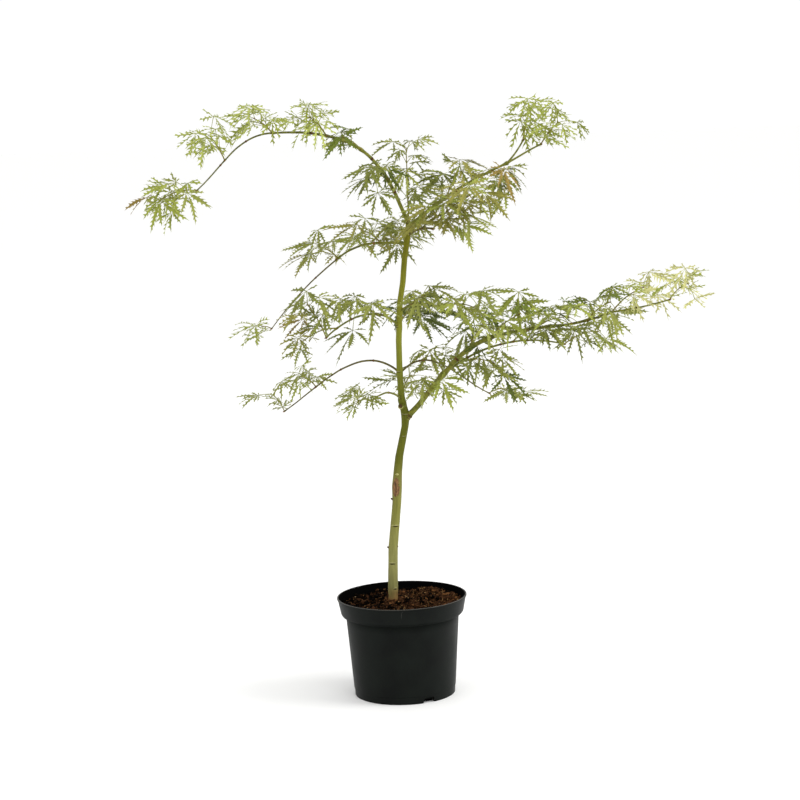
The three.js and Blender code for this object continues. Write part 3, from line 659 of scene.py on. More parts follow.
# each old bud's scar: a pale ridge part of the way round the stem, with a dark strip of painted shadow in the fold
# under it
def round_stem(z, bearing, half, thick, dip=0.5):
    """A thin roll laid on the stem, thinning to both ends, for bark ridges and for strips of painted shadow."""
    stations = []
    for k in range(13):
        side = 2 * k / 12 - 1
        at = (*on_bark(z, bearing + side * half, 0.05), z - dip * side**2)
        stations.append((at, 0.05 + thick * (1 - side**2)))
    return tube(stations, 6)


fold_shadows, ridges = Heap(), Heap()
for z, bearing, half in scars:
    fold_shadows.add(*round_stem(z - 2, bearing + 4, half * 0.6, 1.05))
    ridges.add(*round_stem(z - 0.1, bearing, half * 0.85, 0.6))
for z, bearing, half in ((414.5, 10, 80), (415.5, -170, 80), (382, 10, 30), (477, -30, 60), (542, -60, 50)):
    fold_shadows.add(*round_stem(z, bearing, half, 0.4, -0.6))
    ridges.add(*round_stem(z + 0.9, bearing, half, 0.35, -0.6))
# the dark strips under the ridges are painted shadow
piece("bud_scar_fold_shadows", *fold_shadows, plain("bud_scar_painted_shadow", "33290f", 0.8), "bark")
piece("bud_scar_ridges", *ridges, plain("bud_scar_pale", "a3a06c", 0.7), "bark")

# dead stubs of shed twigs, and the pruned knuckle at 425 mm with its pale ring of new bark
stubs = Heap()
stub_rows = ((215, 192, 3.6, 1.5), (216, -22, 2.8, 1.1), (287, 200, 4.6, 1.6), (160, -70, 1.2, 1.6))
for z, bearing, long, r in stub_rows:
    out = Vector((cos(radians(bearing)), sin(radians(bearing)), 0.45)).normalized()
    root = Vector(trunk_at(z)) + out * (trunk_radius(z) - 0.8)
    shape = ((0, 1.2), (0.4, 0.9), (0.85, 0.75), (1, 0.3))
    stubs.add(*tube([(root + out * (long * t), r * wide) for t, wide in shape], 8))
knuckle_out = Vector((-0.45, -0.85, 0.3)).normalized()
knuckle_root = Vector(trunk_at(425))
knuckle = [(0, 5.2), (5, 5), (7.6, 4.8), (9, 4.5), (9.6, 3.2)]
knuckle_shape = tube([(knuckle_root + knuckle_out * far, r) for far, r in knuckle], 18)
piece("pruned_knuckle", *knuckle_shape, bark, "bark")
cut_face = [(9.4, 3), (9.9, 2.7), (10.4, 1.2)]
stubs.add(*tube([(knuckle_root + knuckle_out * far, r) for far, r in cut_face], 12))
piece("dead_stubs", *stubs, plain("dead_stub_brown", "4b3a22", 0.8), "bark")
ring_side = knuckle_out.cross(Vector((0, 0, 1))).normalized()
ring_up = ring_side.cross(knuckle_out)
ring = []
for k in range(15):
    turn = pi * (0.95 + 1.1 * k / 14)
    around = ring_side * cos(turn) + ring_up * sin(turn)
    ring.append((knuckle_root + knuckle_out * 9.3 + around * 3.8, 0.25 + 0.6 * sin(pi * k / 14)))
chip = [((-2.4, -5.4, 327), 0.6), ((-1, -6.1, 327.4), 1.7), ((0.6, -6, 327.3), 1.8), ((2, -5.5, 326.8), 0.6)]
fresh = Heap()
fresh.add(*tube(ring, 6))
fresh.add(*tube(chip, 8))
piece("pale_new_bark", *fresh, plain("pale_new_bark", "a5a167", 0.6), "bark")

# ---- Boughs ----------------------------------------------------------------------------------
# Young laceleaf wood, yellow-green and smooth, browner where it is oldest or in full sun. Each
# limb bends in one upright plane and tapers; it swells at the joints where leaves or limbs leave.

BEND = 0.38  # how far along a bough its first and last slopes hold, as a share of its span
boughs = {  # on, at, bearing, reach, rise, leave, arrive, radius where it leaves, radius at its end
    "arch_rise": ("trunk", 690, 200, 98, 126, 68, 20, 2.8, 2.1),
    "arch_span": ("arch_rise", 1, 204, 103, 14, 18, 0, 2.1, 1.4),
    "arch_fall": ("arch_span", 1, 200, 113, -74, 0, -38, 1.3, 0.9),
    "top_right": ("trunk", 686, 24, 162, 83, 35, 19, 2.8, 1.7),
    "prong_up": ("top_right", 1, 55, 44, 30, 31, 45, 1.5, 1.2),
    "prong_out": ("top_right", 1, 5, 50, 25, 28, 22, 1.5, 1.2),
    "front": ("trunk", 674, -55, 62, 12, 25, -5, 2, 1.4),
    "left_high": ("trunk", 662, 152, 114, -22, 4, -36, 1.9, 1.4),
    "left_whip": ("left_high", 1, 160, 110, -104, -36, -50, 1.2, 0.7),
    "left_mid": ("trunk", 541, 214, 125, -2, 55, -37, 1.8, 1.1),
    "left_low": ("trunk", 476, 150, 201, -66, 36, -32, 1.6, 0.9),
    "left_foot": ("trunk", 436, 245, 102, 14, 32, -10, 1.6, 1.1),
    "right_twig": ("trunk", 564, -40, 82, 10, 38, -10, 1.5, 1.1),
    "back_twig": ("trunk", 474, 48, 200, -55, 32, -24, 1.5, 0.9),
    "right_main": ("trunk", 408, -14, 130, 118, 42, 20, 4.2, 3.1),
    "right_end": ("right_main", 1, -8, 174, 33, 16, 22, 2.6, 1.6),
    "right_tip": ("right_end", 1, -22, 85, 18, 8, 16, 1.4, 1),
    "right_fork": ("right_main", 0.48, 4, 178, 36, 36, -15, 1.8, 1.1),
}
masses = {  # on, at, bearing, leave, length, pairs, leaf, droop, seed
    "top": ("trunk", 692, 50, 90, 105, 3, 44, 45, 14),
    "arch_inner": ("arch_rise", 0.42, 240, 30, 35, 2, 48, 50, 217),
    "arch_shoulder": ("arch_rise", 0.8, 190, 50, 30, 1, 42, 45, 33),
    "arch_crown": ("arch_span", 0.2, 180, 60, 35, 2, 48, 35, 332),
    "arch_ridge": ("arch_span", 1, 215, 50, 35, 2, 50, 40, 562),
    "arch_shed": ("arch_fall", 0.6, 150, 65, 40, 2, 52, 45, 416),
    "arch_tip": ("arch_fall", 1, 215, 10, 60, 3, 44, 40, 281),
    "top_shade": ("top_right", 0.4, 50, 60, 45, 2, 48, 35, 16),
    "top_shed": ("top_right", 0.85, -20, -10, 30, 2, 50, 45, 407),
    "prong_up": ("prong_up", 1, 45, 75, 45, 2, 46, 50, 87),
    "prong_out": ("prong_out", 1, -5, 60, 40, 2, 46, 50, 393),
    "front_near": ("front", 0.6, -40, 45, 40, 2, 56, 40, 489),
    "front_far": ("front", 1, -35, 50, 75, 3, 54, 45, 437),
    "high_near": ("left_high", 0.35, 130, 40, 35, 2, 54, 40, 515),
    "high_far": ("left_high", 1, 140, 40, 40, 2, 52, 40, 271),
    "whip_tip": ("left_whip", 1, 160, 30, 15, 1, 46, 10, 122),
    "mid_near": ("left_mid", 0.35, 220, 30, 40, 2, 54, 50, 336),
    "mid_far": ("left_mid", 1, 225, 65, 60, 2, 52, 35, 381),
    "mid_tip": ("left_mid", 0.85, 200, 5, 50, 1, 46, 35, 237),
    "low_far": ("left_low", 0.72, 125, 35, 35, 2, 44, 40, 114),
    "low_tip": ("left_low", 1, 125, 50, 35, 1, 46, 25, 431),
    "foot": ("left_foot", 1, 240, 25, 35, 2, 46, 20, 252),
    "twig_near": ("right_twig", 0.3, -40, 45, 25, 1, 46, 45, 513),
    "twig_far": ("right_twig", 1, -45, 20, 65, 2, 50, 35, 238),
    "back_twig_near": ("back_twig", 0.25, 45, 30, 20, 1, 46, 50, 330),
    "back_twig_tip": ("back_twig", 1, 35, 20, 40, 1, 44, 20, 137),
    "main_foot": ("right_main", 0.35, -90, 30, 35, 1, 46, 30, 260),
    "main_under": ("right_fork", 0.15, -30, 20, 55, 2, 52, 45, 26),
    "main_top": ("right_main", 0.8, 55, 50, 50, 2, 54, 50, 407),
    "main_head": ("right_main", 1, -20, 50, 55, 2, 54, 45, 329),
    "fork_mid": ("right_fork", 0.6, -15, 45, 35, 1, 52, 40, 136),
    "crest": ("right_end", 0.35, -25, 35, 55, 2, 56, 40, 39),
    "fork_tip": ("right_fork", 1, 30, 30, 60, 2, 50, 45, 442),
    "ridge": ("right_end", 0.8, 25, 45, 45, 2, 50, 40, 432),
    "tip_up": ("right_end", 1, 25, 45, 60, 2, 44, 30, 8),
    "tip_out": ("right_tip", 1, -60, 45, 50, 2, 44, 25, 41),
    "back_high": ("trunk", 655, 95, 25, 130, 2, 48, 40, 469),
    "back_mid": ("trunk", 545, 75, 20, 150, 3, 50, 40, 560),
    "back_low": ("trunk", 440, 80, 25, 120, 3, 46, 20, 270),
}


def heading(bearing, slope):
    """Direction with a compass bearing (0 is +X, 90 is +Y) and a slope above the horizon."""
    b, s = radians(bearing), radians(slope)
    return np.array([cos(b) * cos(s), sin(b) * cos(s), sin(s)])


def arc(start, bearing, reach, rise, leave, arrive):
    """Four handles of the curve that leaves a point at one slope and ends at another."""
    pull = BEND * hypot(reach, rise)
    end = start + heading(bearing, 0) * reach + np.array([0, 0, rise])
    first = start + heading(bearing, leave) * pull
    return start, first, end - heading(bearing, arrive) * pull, end


def along(curve, t):
    a, b, c, d = curve
    s = 1 - t
    return a * s**3 + b * (3 * s * s * t) + c * (3 * s * t * t) + d * t**3


def ahead(curve, t):
    """Direction of a curve at a share of its length."""
    a, b, c, d = curve
    s = 1 - t
    way = (b - a) * (3 * s * s) + (c - b) * (6 * s * t) + (d - c) * (3 * t * t)
    return way / np.linalg.norm(way)


curves = {}


def start_of(on, at):
    return trunk_at(at) if on == "trunk" else along(curves[on], at)


for name, (on, at, *bend) in boughs.items():
    curves[name] = arc(start_of(on, at), *bend[:5])


def length_of(curve):
    return sum(np.linalg.norm(along(curve, (i + 1) / 20) - along(curve, i / 20)) for i in range(20))


wander, wander_pace, uneven, uneven_pace = 0.35, 23, 0.05, 2.1  # shares of the radius, and mm


def stray(at):
    """A small smooth shift that changes from place to place: noise read at three places far apart."""
    return Vector([noise.noise(at + Vector((far, far, far))) for far in (9.3, 0, 31.7)])


def core(curve, t, r0, seed):
    """Middle of a limb at a share of its length; it wanders a little from its curve."""
    at = Vector(along(curve, t))
    return at + stray(at / wander_pace + Vector((seed, 0, 0))) * (wander * r0 * sin(pi * t))


def limb(curve, r0, r1, sides, step, swellings, seed):
    """A limb with uneven bark, swollen at shares of its length: (share, gain)."""
    length = length_of(curve)
    steps = max(4, round(length / step))
    stations = []
    for i in range(steps + 1):
        t = i / steps
        r = r0 + (r1 - r0) * t
        for share, gain in swellings:
            r += gain * exp(-(((t - share) * length / (1.6 * r0)) ** 2))
        stations.append((core(curve, t, r0, seed), r))
    points, faces = tube(stations, sides)
    return [p + stray(p / uneven_pace) * (uneven * r0) for p in points], faces


def wood(name, low, high, roughness):
    """Bark of young wood: streaks about 1.5 mm wide and 20 mm long between two colours."""
    made, tree, shader, place = material(name, roughness, 0.12)
    streaks = add(tree, "TexNoise", {"Scale": 190, "Detail": 5}, {"Vector": place})
    tone = add(tree, "ValToRGB", {"stops": [(0.38, low), (0.62, high)]}, {"Fac": streaks})
    pores = add(tree, "TexVoronoi", {"Scale": 700}, {"Vector": place})
    bump = add(tree, "Bump", {"Strength": 0.3, "Distance": 0.0004}, {"Height": pores})
    feed(tree, shader, {"Base Color": tone, "Normal": bump})
    return made


woods = {
    "olive": wood("young_wood_olive", "484a1c", "666628", 0.5),
    "lime": wood("young_wood_lime", "5a5e20", "78782e", 0.45),
    "russet": wood("young_wood_russet", "4a4220", "66602f", 0.55),
}


def by_name(groups):
    """The value of each name, from the names that share each value."""
    return {name: value for value, names in groups.items() for name in names.split()}


bough_wood = by_name(
    {"olive": "arch_span arch_fall right_end", "russet": "front left_whip left_low back_twig"}
)
swellings = {name: [(0, 0.45 * row[7])] for name, row in boughs.items()}
for on, at, *_ in list(boughs.values()) + list(masses.values()):
    if on != "trunk":
        swellings[on].append((at, 0.3 * boughs[on][7]))
for name, row in boughs.items():
    r0, r1 = row[7:]
    shape = limb(curves[name], r0, r1, 12, 2.5, swellings[name], len(name))
    finish = woods[bough_wood.get(name, "lime")]
    piece("bough_bark_" + name, *shape, finish, "bark", ["bough_" + name])

# a wrinkled brown collar where each of the thicker boughs leaves its limb
collars = Heap()
for name in "right_main right_end right_fork left_mid left_low left_foot top_right arch_rise".split():
    on, at, *_ = boughs[name]
    below = trunk_radius(at) if on == "trunk" else 0
    way, r = Vector(ahead(curves[name], 0)), boughs[name][7]
    root = Vector(curves[name][0]) + way * below
    wrinkles = [(-1.2, 1.06), (-0.6, 1.34), (0, 1.14), (0.8, 1.3), (1.6, 1.04)]
    collars.add(*tube([(root + way * (far * r * 0.6), r * wide + 0.15) for far, wide in wrinkles], 12))
collar_bark = wood("collar_bark_brown", "4a3c1c", "6b6030", 0.7)
piece("bough_collars", *collars, collar_bark, "bark")

# joints, every 40 to 60 mm along young wood and at its tips: a short red-brown swelling each, where
# a pair of last year's leaves fell, with a rough upper lip
joint_spacing, joint_stagger = 52, 0.12  # in mm, and every other one by a share of that
# along the limb and out from it, over the joint's half length and how proud it stands
joint_shape = [(-1, 0.05), (-0.5, 0.4), (0, 0.85), (0.3, 1), (0.5, 0.65), (0.9, 0.05)]
joint_half, joint_proud = 1.8, 0.5
joints = Heap()
for name, row in boughs.items():
    r0, r1 = row[7:]
    count = max(1, round(length_of(curves[name]) / joint_spacing))
    for k in range(1, count + 1):
        share = (k - (joint_stagger * (k % 2) if k < count else 0)) / count
        at, way = core(curves[name], share, r0, len(name)), Vector(ahead(curves[name], share))
        r = r0 + (r1 - r0) * share
        lump = [(at + way * (far * joint_half), r + joint_proud * out) for far, out in joint_shape]
        joints.add(*tube(lump, 10))
joint_bark = wood("joint_bark_red_brown", "46301a", "76522c", 0.7)
piece("bough_joints", *joints, joint_bark, "bark")

# ---- Growth rule -----------------------------------------------------------------------------
# Where the leaves stand, by the same seeded rule as in the solids: pairs along each mass's stem,
# each pair a quarter round from the last, and none that would touch a limb or another mass.

SAG, FIRST_PAIR, TRIES = 40, 0.3, 10
STALK_LENGTH, SIZE, SPREAD, CURL = (0.35, 0.65), (0.75, 1.15), (35, 80), (0.15, 0.4)
LIFT, ROLL, DROOP, TWIST = 0.35, 50, 50, 70
TRUNK_STEP, BOUGH_STEPS, LIMB_CLEAR, LEAF_CLEAR, OWN_CLEAR = 10, 30, 4, 9, 6
LOBES = [(-84, 0.55), (-54, 0.8), (-26, 0.95), (0, 1), (26, 0.95), (54, 0.8), (84, 0.55)]
UP = np.array([0.0, 0.0, 1.0])


def seeded(seed):
    """The growth rule's own random numbers, from 0 to 1."""
    state = (seed * 7919 + 104729) % 2147483647
    while True:
        state = state * 16807 % 2147483647
        yield state / 2147483647


def unit(v):
    return v / np.linalg.norm(v)


def stem_curve(on, at, bearing, leave, length):
    arrive = leave - SAG * cos(radians(leave))
    middle = radians((leave + arrive) / 2)
    return arc(start_of(on, at), bearing, length * cos(middle), length * sin(middle), leave, arrive)


def draw_leaf(draw, node, way, turn, side_of, leaf, mean_droop):
    """One leaf at random: where its stalk starts and ends, and the three axes of its blade."""

    def between(least, most):
        return least + (most - least) * next(draw)

    def about(span):
        return radians(span * (next(draw) - 0.5))

    aside = unit(np.cross(UP, way)) if abs(way[2]) < 0.97 else np.array([1.0, 0.0, 0.0])
    above = np.cross(way, aside)
    roll = radians(turn) + about(ROLL)
    out = (aside * cos(roll) + above * sin(roll)) * side_of
    spread = radians(between(*SPREAD))
    stalk = unit(way * cos(spread) + out * sin(spread) + UP * (LIFT * next(draw)))
    hilt = node + stalk * (leaf * between(*STALK_LENGTH))
    size = leaf * between(*SIZE)
    flat = np.array([stalk[0], stalk[1], 0.0])
    if np.linalg.norm(flat) < 0.15:
        flat = np.array([way[0] + 0.001, way[1], 0.0])
    flat = unit(flat)
    droop = radians(mean_droop) + about(DROOP)
    axis = flat * cos(droop) - UP * sin(droop)
    twist = about(TWIST)
    side = np.cross(UP, flat)
    face = np.cross(axis, side)
    side = side * cos(twist) + face * sin(twist)
    return {
        "node": node, "hilt": hilt, "axis": axis, "side": side, "face": np.cross(axis, side),
        "size": size, "curl": between(*CURL),
    }


def blade_point(leaf, turn, share, reach):
    """Point of a blade at an angle from its axis and a share of its size from the hilt."""
    out = leaf["size"] * share * reach
    angle = radians(turn)
    way = leaf["axis"] * cos(angle) + leaf["side"] * sin(angle)
    return leaf["hilt"] + way * out - leaf["face"] * (leaf["curl"] * out * reach)


def feelers(leaf):
    """Points of a leaf that keep their distance from limbs and other leaves."""
    stalk = [leaf["node"] + (leaf["hilt"] - leaf["node"]) * share for share in (0.4, 0.7, 1)]
    blade = [blade_point(leaf, turn, share, i / 6) for turn, share in LOBES for i in range(1, 7)]
    return np.array(stalk + blade)


heights = range(140, 690, TRUNK_STEP)
limb_places, limb_radii = [trunk_at(z) for z in heights], [trunk_radius(z) for z in heights]
for name, row in boughs.items():
    for i in range(BOUGH_STEPS + 1):
        limb_places.append(along(curves[name], i / BOUGH_STEPS))
        limb_radii.append(row[7] + (row[8] - row[7]) * i / BOUGH_STEPS)
limb_places, limb_radii = np.array(limb_places), np.array(limb_radii)


def apart(points, others):
    """Smallest distance from each of the points to the others."""
    if not len(others):
        return np.full(len(points), np.inf)
    return np.linalg.norm(points[:, None] - others[None], axis=2).min(axis=1)


def clear_of_limbs(points):
    gaps = np.linalg.norm(points[:, None] - limb_places[None], axis=2) - limb_radii
    return gaps.min() >= LIMB_CLEAR


def grow(stem, draw, shares, turn, size, droop, own, fits):
    """Leaves in pairs at shares of a stem, each tried until it fits, and all that they now hold."""
    grown = []
    for pair, t in enumerate(shares):
        for side_of in (1, -1):
            for _ in range(TRIES):
                node, way = along(stem, t), ahead(stem, t)
                leaf = draw_leaf(draw, node, way, 90 * (pair % 2) + turn, side_of, size, droop)
                points = feelers(leaf)
                if fits(points, own) and clear_of_limbs(points):
                    grown.append(leaf)
                    own = np.concatenate([own, points])
                    break
    return grown, own


def pair_shares(pairs):
    """Where the pairs of a mass stand along its stem."""
    return [1] if pairs == 1 else [FIRST_PAIR + (1 - FIRST_PAIR) * k / (pairs - 1) for k in range(pairs)]


stems = {name: stem_curve(*row[:5]) for name, row in masses.items()}
stem_points = {name: np.array([along(c, 0.2 + 0.1 * i) for i in range(9)]) for name, c in stems.items()}
leaves, taken = {}, {}
for name, (*_, pairs, leaf_size, droop, seed) in masses.items():
    others = np.concatenate([p for n, p in stem_points.items() if n != name] + list(taken.values()))

    def keeps_clear(points, own):
        return apart(points, others).min() >= LEAF_CLEAR and apart(points, own).min() >= OWN_CLEAR

    none_yet = np.empty((0, 3))
    leaves[name], taken[name] = grow(
        stems[name], seeded(seed), pair_shares(pairs), 0, leaf_size, droop, none_yet, keeps_clear
    )

# The same rule run once more along each mass's stem: smaller leaves between the first ones, closer
# together, and kept only inside the reach of their own mass.
FINER_LEAF, FINER_CLEAR, FINER_OUT, FINER_RAISE = 0.72, 2.6, 8, 22
FINER_FIRST, FINER_SPAN, FINER_TURN, FINER_SEED = 0.2, 0.75, 45, 1000
finer_pairs = by_name({  # for every pair of the mass; two where it isn't named
    6: "arch_tip",
    4: "arch_ridge arch_shed top_shade top_shed front_near front_far back_high back_mid main_head crest"
    " ridge",
    1: "high_near high_far low_far low_tip foot tip_up tip_out fork_mid fork_tip mid_near main_foot"
    " main_under back_low",
})
finer = {}
for name, (*_, pairs, leaf_size, droop, seed) in masses.items():
    low, high = taken[name].min(axis=0) - FINER_OUT, taken[name].max(axis=0) + FINER_OUT

    def keeps_inside(points, own):
        inside = (points > low).all() and (points < high).all()
        return inside and apart(points, own).min() >= FINER_CLEAR

    last = finer_pairs.get(name, 2) * pairs
    shares = [FINER_FIRST + FINER_SPAN * pair / last for pair in range(last + 1)]
    size, droop = leaf_size * FINER_LEAF, droop - FINER_RAISE
    draw = seeded(seed + FINER_SEED)
    finer[name], _ = grow(stems[name], draw, shares, FINER_TURN, size, droop, taken[name], keeps_inside)

# ---- Twigs and leaf stalks -------------------------------------------------------------------
# Each mass's stem is this year's shoot, 2 mm thick and reddish; its leaves stand on thin stalks
# that sag a little under them. Pairs of red-brown buds sit at the joints of boughs and stems.

shoots, stalks, buds = Heap(), Heap(), Heap()
shoot_foot, shoot_tip, shoot_knot = 1.15, 0.65, 0.35  # radii, and how far a pair's joint swells
stalk_end, stalk_waist, stalk_sag = 0.62, 0.2, 0.08  # radius, how much thinner halfway, share of length


def bud(at, way, long, thick):
    """A small pointed bud."""
    at, way = Vector(at), Vector(way).normalized()
    shape = [(0, 0.6), (0.3, 1), (0.65, 0.7), (1, 0.08)]
    buds.add(*tube([(at + way * (long * share), thick * r) for share, r in shape], 7))


for name, (on, at, *_, pairs, leaf_size, droop, seed) in masses.items():
    below = trunk_radius(at) if on == "trunk" else boughs[on][7] + at * (boughs[on][8] - boughs[on][7])
    knots = [(share, shoot_knot) for share in pair_shares(pairs)]
    shoots.add(*limb(stems[name], min(shoot_foot, 0.9 * below), shoot_tip, 7, 3, knots, seed % 17))
    tip = stems[name][3]
    for side_of in (1, -1):
        aside = unit(np.cross(UP, ahead(stems[name], 1)) + 0.001) * side_of
        bud(tip + aside * 0.4, ahead(stems[name], 1) + aside * 0.7, 2.4, 0.6)
        if on != "trunk":
            aside = unit(np.cross(UP, ahead(curves[on], at))) * side_of
            bud(start_of(on, at) + aside * below * 0.8, ahead(curves[on], at) + aside * 0.8, 3, 0.9)
for grown in list(leaves.values()) + list(finer.values()):
    for leaf in grown:
        span = leaf["hilt"] - leaf["node"]
        sag = UP * (stalk_sag * np.linalg.norm(span))
        stations = []
        for i in range(7):
            t = i / 6
            at = leaf["node"] + span * t + sag * (4 * t * (1 - t))
            stations.append((at, stalk_end - stalk_waist * sin(pi * t)))
        stalks.add(*tube(stations, 5))
piece("shoots", *shoots, wood("this_years_shoot", "6a5f2a", "848038", 0.5), "bark")
piece("leaf_stalks", *stalks, plain("leaf_stalk_green", "8c8f45", 0.5), "foliage")
piece("buds", *buds, plain("bud_red_brown", "6d3a20", 0.5), "bark")

# ---- Leaves ----------------------------------------------------------------------------------
# Each leaf is a hand of nine narrow lobes, bare ribs at the base, cut along both edges into thin
# teeth that point forwards. Blades are soft, folded along their ribs, and hang under their tips.

LEAF_LOBES = [(-112, 0.36)] + LOBES + [(112, 0.36)]
TOOTH_ANGLE = 33  # of a tooth from its lobe
YOUNG_CUT = (0.02, 0.2, 6.6)  # half width and tooth length over the lobe's length; tooth spacing in mm
OLD_CUT = (0.04, 0.13, 5.4)
SLIM_CUT = (0.028, 0.12, 5.2)
BARE, RIB = 0.15, 0.32  # share of a lobe that is rib alone, and half the rib's width
FOLD = 0.3  # rise of a blade's edge over its half width
FALL = 1.5  # how fast a lobe narrows past its fullest place, two fifths of the way to its tip
blades = {}


def lobe(leaf, turn, share, dice, heap, cut):
    """One lobe: a folded strip along a curved rib, with teeth by turns on either edge."""
    broad, tooth, tooth_step = cut
    reach = leaf["size"] * share * dice.uniform(0.85, 1.08)
    angle = radians(turn + dice.gauss(0, 7))
    lift = radians(dice.gauss(4, 9))
    flat = leaf["axis"] * cos(angle) + leaf["side"] * sin(angle)
    way = flat * cos(lift) + leaf["face"] * sin(lift)
    aside = leaf["side"] * cos(angle) - leaf["axis"] * sin(angle)
    roll = dice.gauss(0, 0.45)
    face = leaf["face"] * cos(roll) - aside * sin(roll)
    aside = aside * cos(roll) + leaf["face"] * sin(roll)
    bow, sink, curl = dice.gauss(0, 0.14), dice.uniform(-0.05, 0.12), leaf["curl"] * dice.uniform(0.5, 1.1)

    def rib(u):
        """Middle of the lobe at a share of its length: it bows aside, curls and sinks."""
        swing = aside * (bow * u * u) - face * (curl * u * u) - UP * (sink * u**3)
        return leaf["hilt"] + (way * u + swing) * reach

    def full(u):
        """How full the blade is at a share of the lobe's length, from 0 to 1."""
        v = min(1, max(0, (u - BARE) / (1 - BARE)))
        return v * (1 - v) ** FALL * (1 + FALL) ** (1 + FALL) / FALL**FALL

    count = max(2, round(reach * (1 - BARE) / tooth_step) - 1)
    points, faces = [], []
    for sign in (1, -1):
        # the teeth of one edge stand about halfway between those of the other
        spots = [0, BARE]
        for i in range(count):
            start = BARE + 0.9 * (1 - BARE) * (i + 0.25 + 0.2 * sign + dice.uniform(-0.1, 0.1)) / count
            spots += [start, start + 0.5 * (1 - BARE) / count]
        spots.append(1)
        first = len(points)
        edges = []
        for u in spots:
            w = (RIB + broad * reach * full(u)) * (1 if u < 1 else 0.2)
            middle = rib(u)
            edges.append(middle + aside * (sign * w) + face * (FOLD * w))
            points += [middle, edges[-1]]
        for i in range(len(spots) - 1):
            a = first + 2 * i
            faces.append((a, a + 1, a + 3, a + 2) if sign < 0 else (a, a + 2, a + 3, a + 1))
        for i in range(count):
            a, b = 2 + 2 * i, 3 + 2 * i
            long = (tooth * reach + 0.8) * full(spots[a] * 0.9 + 0.07) ** 0.8 * dice.uniform(0.7, 1.2)
            lean = radians(TOOTH_ANGLE + dice.gauss(0, 6))
            out = way * cos(lean) + aside * (sign * sin(lean)) + face * dice.uniform(-0.25, 0.15)
            gap = edges[b] - edges[a]
            belly = edges[a] + out * (long * 0.5)
            new = len(points)
            points += [belly, belly + gap * 0.5, edges[a] + gap * 0.4 + out * long]
            roots = (first + 2 * a + 1, first + 2 * b + 1)
            strip = [(roots[0], roots[1], new + 1, new), (new, new + 1, new + 2)]
            faces += strip if sign > 0 else [corners[::-1] for corners in strip]
    heap.add(points, faces)


cuts = by_name({
    YOUNG_CUT: "arch_crown arch_ridge arch_shed prong_up prong_out tip_up tip_out whip_tip",
    SLIM_CUT: "high_near high_far low_far low_tip foot fork_mid fork_tip mid_tip",
})
tints = by_name({  # of leaves, in equal shares, and the masses that have them; the others are mixed
    "pale pale lime": "tip_up tip_out",
    "pale lime": "whip_tip",
    "fresh lime": "prong_up prong_out arch_shed",
    "fresh fresh lime": "arch_crown arch_ridge",
    "lime lime green": "arch_tip",
    "lime olive bronze": "top_shade",
    "green olive": "back_low back_high",
    "green olive green": "top",
    "green olive green dark": "arch_inner",
    "green olive dark": "main_under fork_mid back_mid",
    "green olive deep": "arch_shoulder",
    "green olive deep green": "mid_near",
    "green olive lime deep": "main_top main_head crest ridge",
    "green bronze olive": "mid_tip",
    "green bronze olive bronze": "mid_far",
    "green bronze lime": "high_near high_far",
    "green bronze lime olive": "top_shed",
    "green bronze lime bronze": "front_near front_far",
})
mixed = "green green olive lime green"
# dark and deep are darker copies of the leaf greens: painted shade, given to the masses whose leaves lie in shade
codes = {
    "pale": "b9b87b", "fresh": "a1a956", "lime": "8f9742", "green": "868b43", "olive": "757b3a",
    "bronze": "87843e", "deep": "67742b", "dark": "4e591e", "rust": "857236",
}
turned = {"arch_tip": -1, "top_shed": 1, "mid_far": 1}  # one leaf of each that has turned rust
dice = random.Random(23)
for name in masses:
    choices = tints.get(name, mixed).split()
    cut = cuts.get(name, OLD_CUT)
    for k, leaf in enumerate(leaves[name] + finer[name]):
        raised = radians(dice.gauss(8, 9))
        axis, face = leaf["axis"], leaf["face"]
        leaf["axis"] = axis * cos(raised) + face * sin(raised)
        leaf["face"] = face * cos(raised) - axis * sin(raised)
        tint = choices[dice.randrange(len(choices))]
        if name in turned and k == turned[name] % len(leaves[name]):
            tint = "rust"
        heap = blades.setdefault(tint, Heap())
        for turn, share in LEAF_LOBES:
            lobe(leaf, turn, share, dice, heap, cut)
names = ["leaves_" + name for name in masses]
for tint, heap in blades.items():
    piece("leaves_" + tint, *heap, plain("leaf_blade_" + tint, codes[tint], 0.6, 0.15), "foliage", names)

# ---- Stage -----------------------------------------------------------------------------------
# A broad pale floor in a bright white surround, a soft lamp on the right and a weaker one in front.

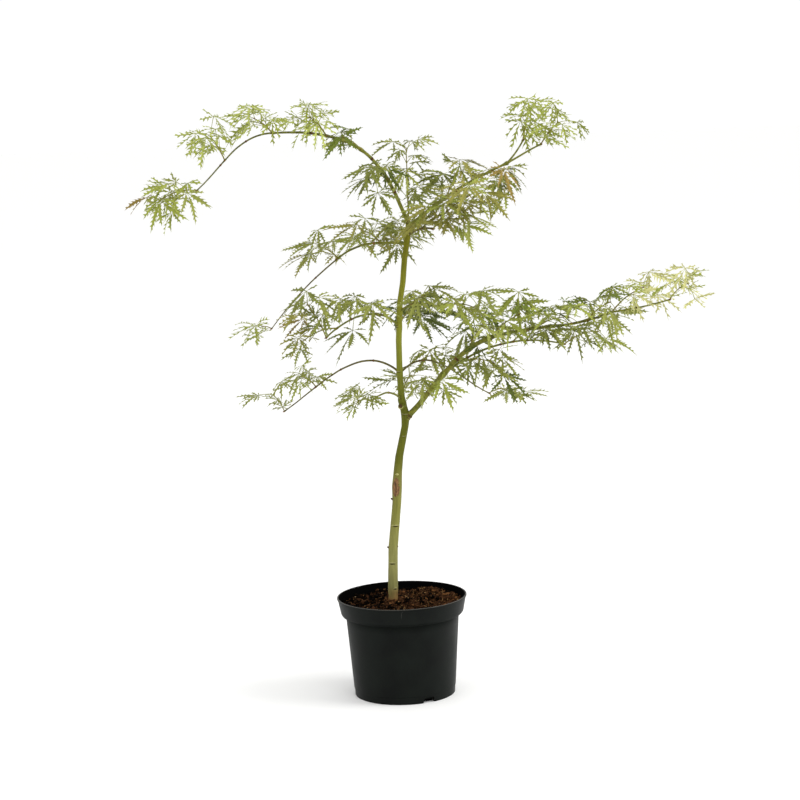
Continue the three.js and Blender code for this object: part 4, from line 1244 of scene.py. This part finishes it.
white, *_ = material("floor_paper_white", 0.9, colour="fcfcfb")
floor_half = 20  # metres
floor_mesh = bpy.data.meshes.new("floor")
floor_corners = [(x * floor_half, y * floor_half, 0) for x, y in ((-1, -1), (1, -1), (1, 1), (-1, 1))]
floor_mesh.from_pydata(floor_corners, [], [(0, 1, 2, 3)])
floor_mesh.materials.append(white)
floor = bpy.data.objects.new("floor", floor_mesh)
link(floor)
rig.stage(floor)

world = bpy.data.worlds.new("studio")
world.use_nodes = True
world.node_tree.nodes["Background"].inputs["Color"].default_value = (1, 1, 1, 1)
world.node_tree.nodes["Background"].inputs["Strength"].default_value = 1.03
bpy.context.scene.world = world
for name, place, size, power in (
    ("soft_key", (2.9, -0.6, 2.2), 1.8, 60),
    ("soft_fill", (1.0, -3.0, 2.6), 2.2, 20),
):
    lamp = bpy.data.lights.new(name, "AREA")
    lamp.size, lamp.energy = size, power
    lamp_object = bpy.data.objects.new(name, lamp)
    lamp_object.location = place
    lamp_object.rotation_euler = (Vector((0, 0, 0.4)) - Vector(place)).to_track_quat("-Z", "Y").to_euler()
    link(lamp_object)
bpy.context.scene.view_settings.view_transform = "Standard"

# The camera looks slightly down from 3.5 m, turned a little about its own axis.
pitch, roll, camera_place = radians(8.48), radians(2.127), (0.00806, -3.46174, 0.95168)
film_width, picture_width, focal_length = 36, 800, 2412.13  # in millimetres, then two in pixels
camera_data = bpy.data.cameras.new("camera")
camera_data.sensor_width = film_width
camera_data.lens = film_width * focal_length / picture_width
camera = bpy.data.objects.new("camera", camera_data)
right, upward = Vector((1, 0, 0)), Vector((0, sin(pitch), cos(pitch)))
backward = Vector((0, -cos(pitch), sin(pitch)))
turned_right = right * cos(roll) - upward * sin(roll)
turned_up = upward * cos(roll) + right * sin(roll)
camera.matrix_world = Matrix.Translation(camera_place) @ (
    Matrix((turned_right, turned_up, backward)).transposed().to_4x4()
)
link(camera)
bpy.context.scene.camera = camera

json.dump(
    {"cad": [list(corner) for corner in cad_box], "scene": [list(corner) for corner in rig.bounds()]},
    open("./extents.json", "w"),
)
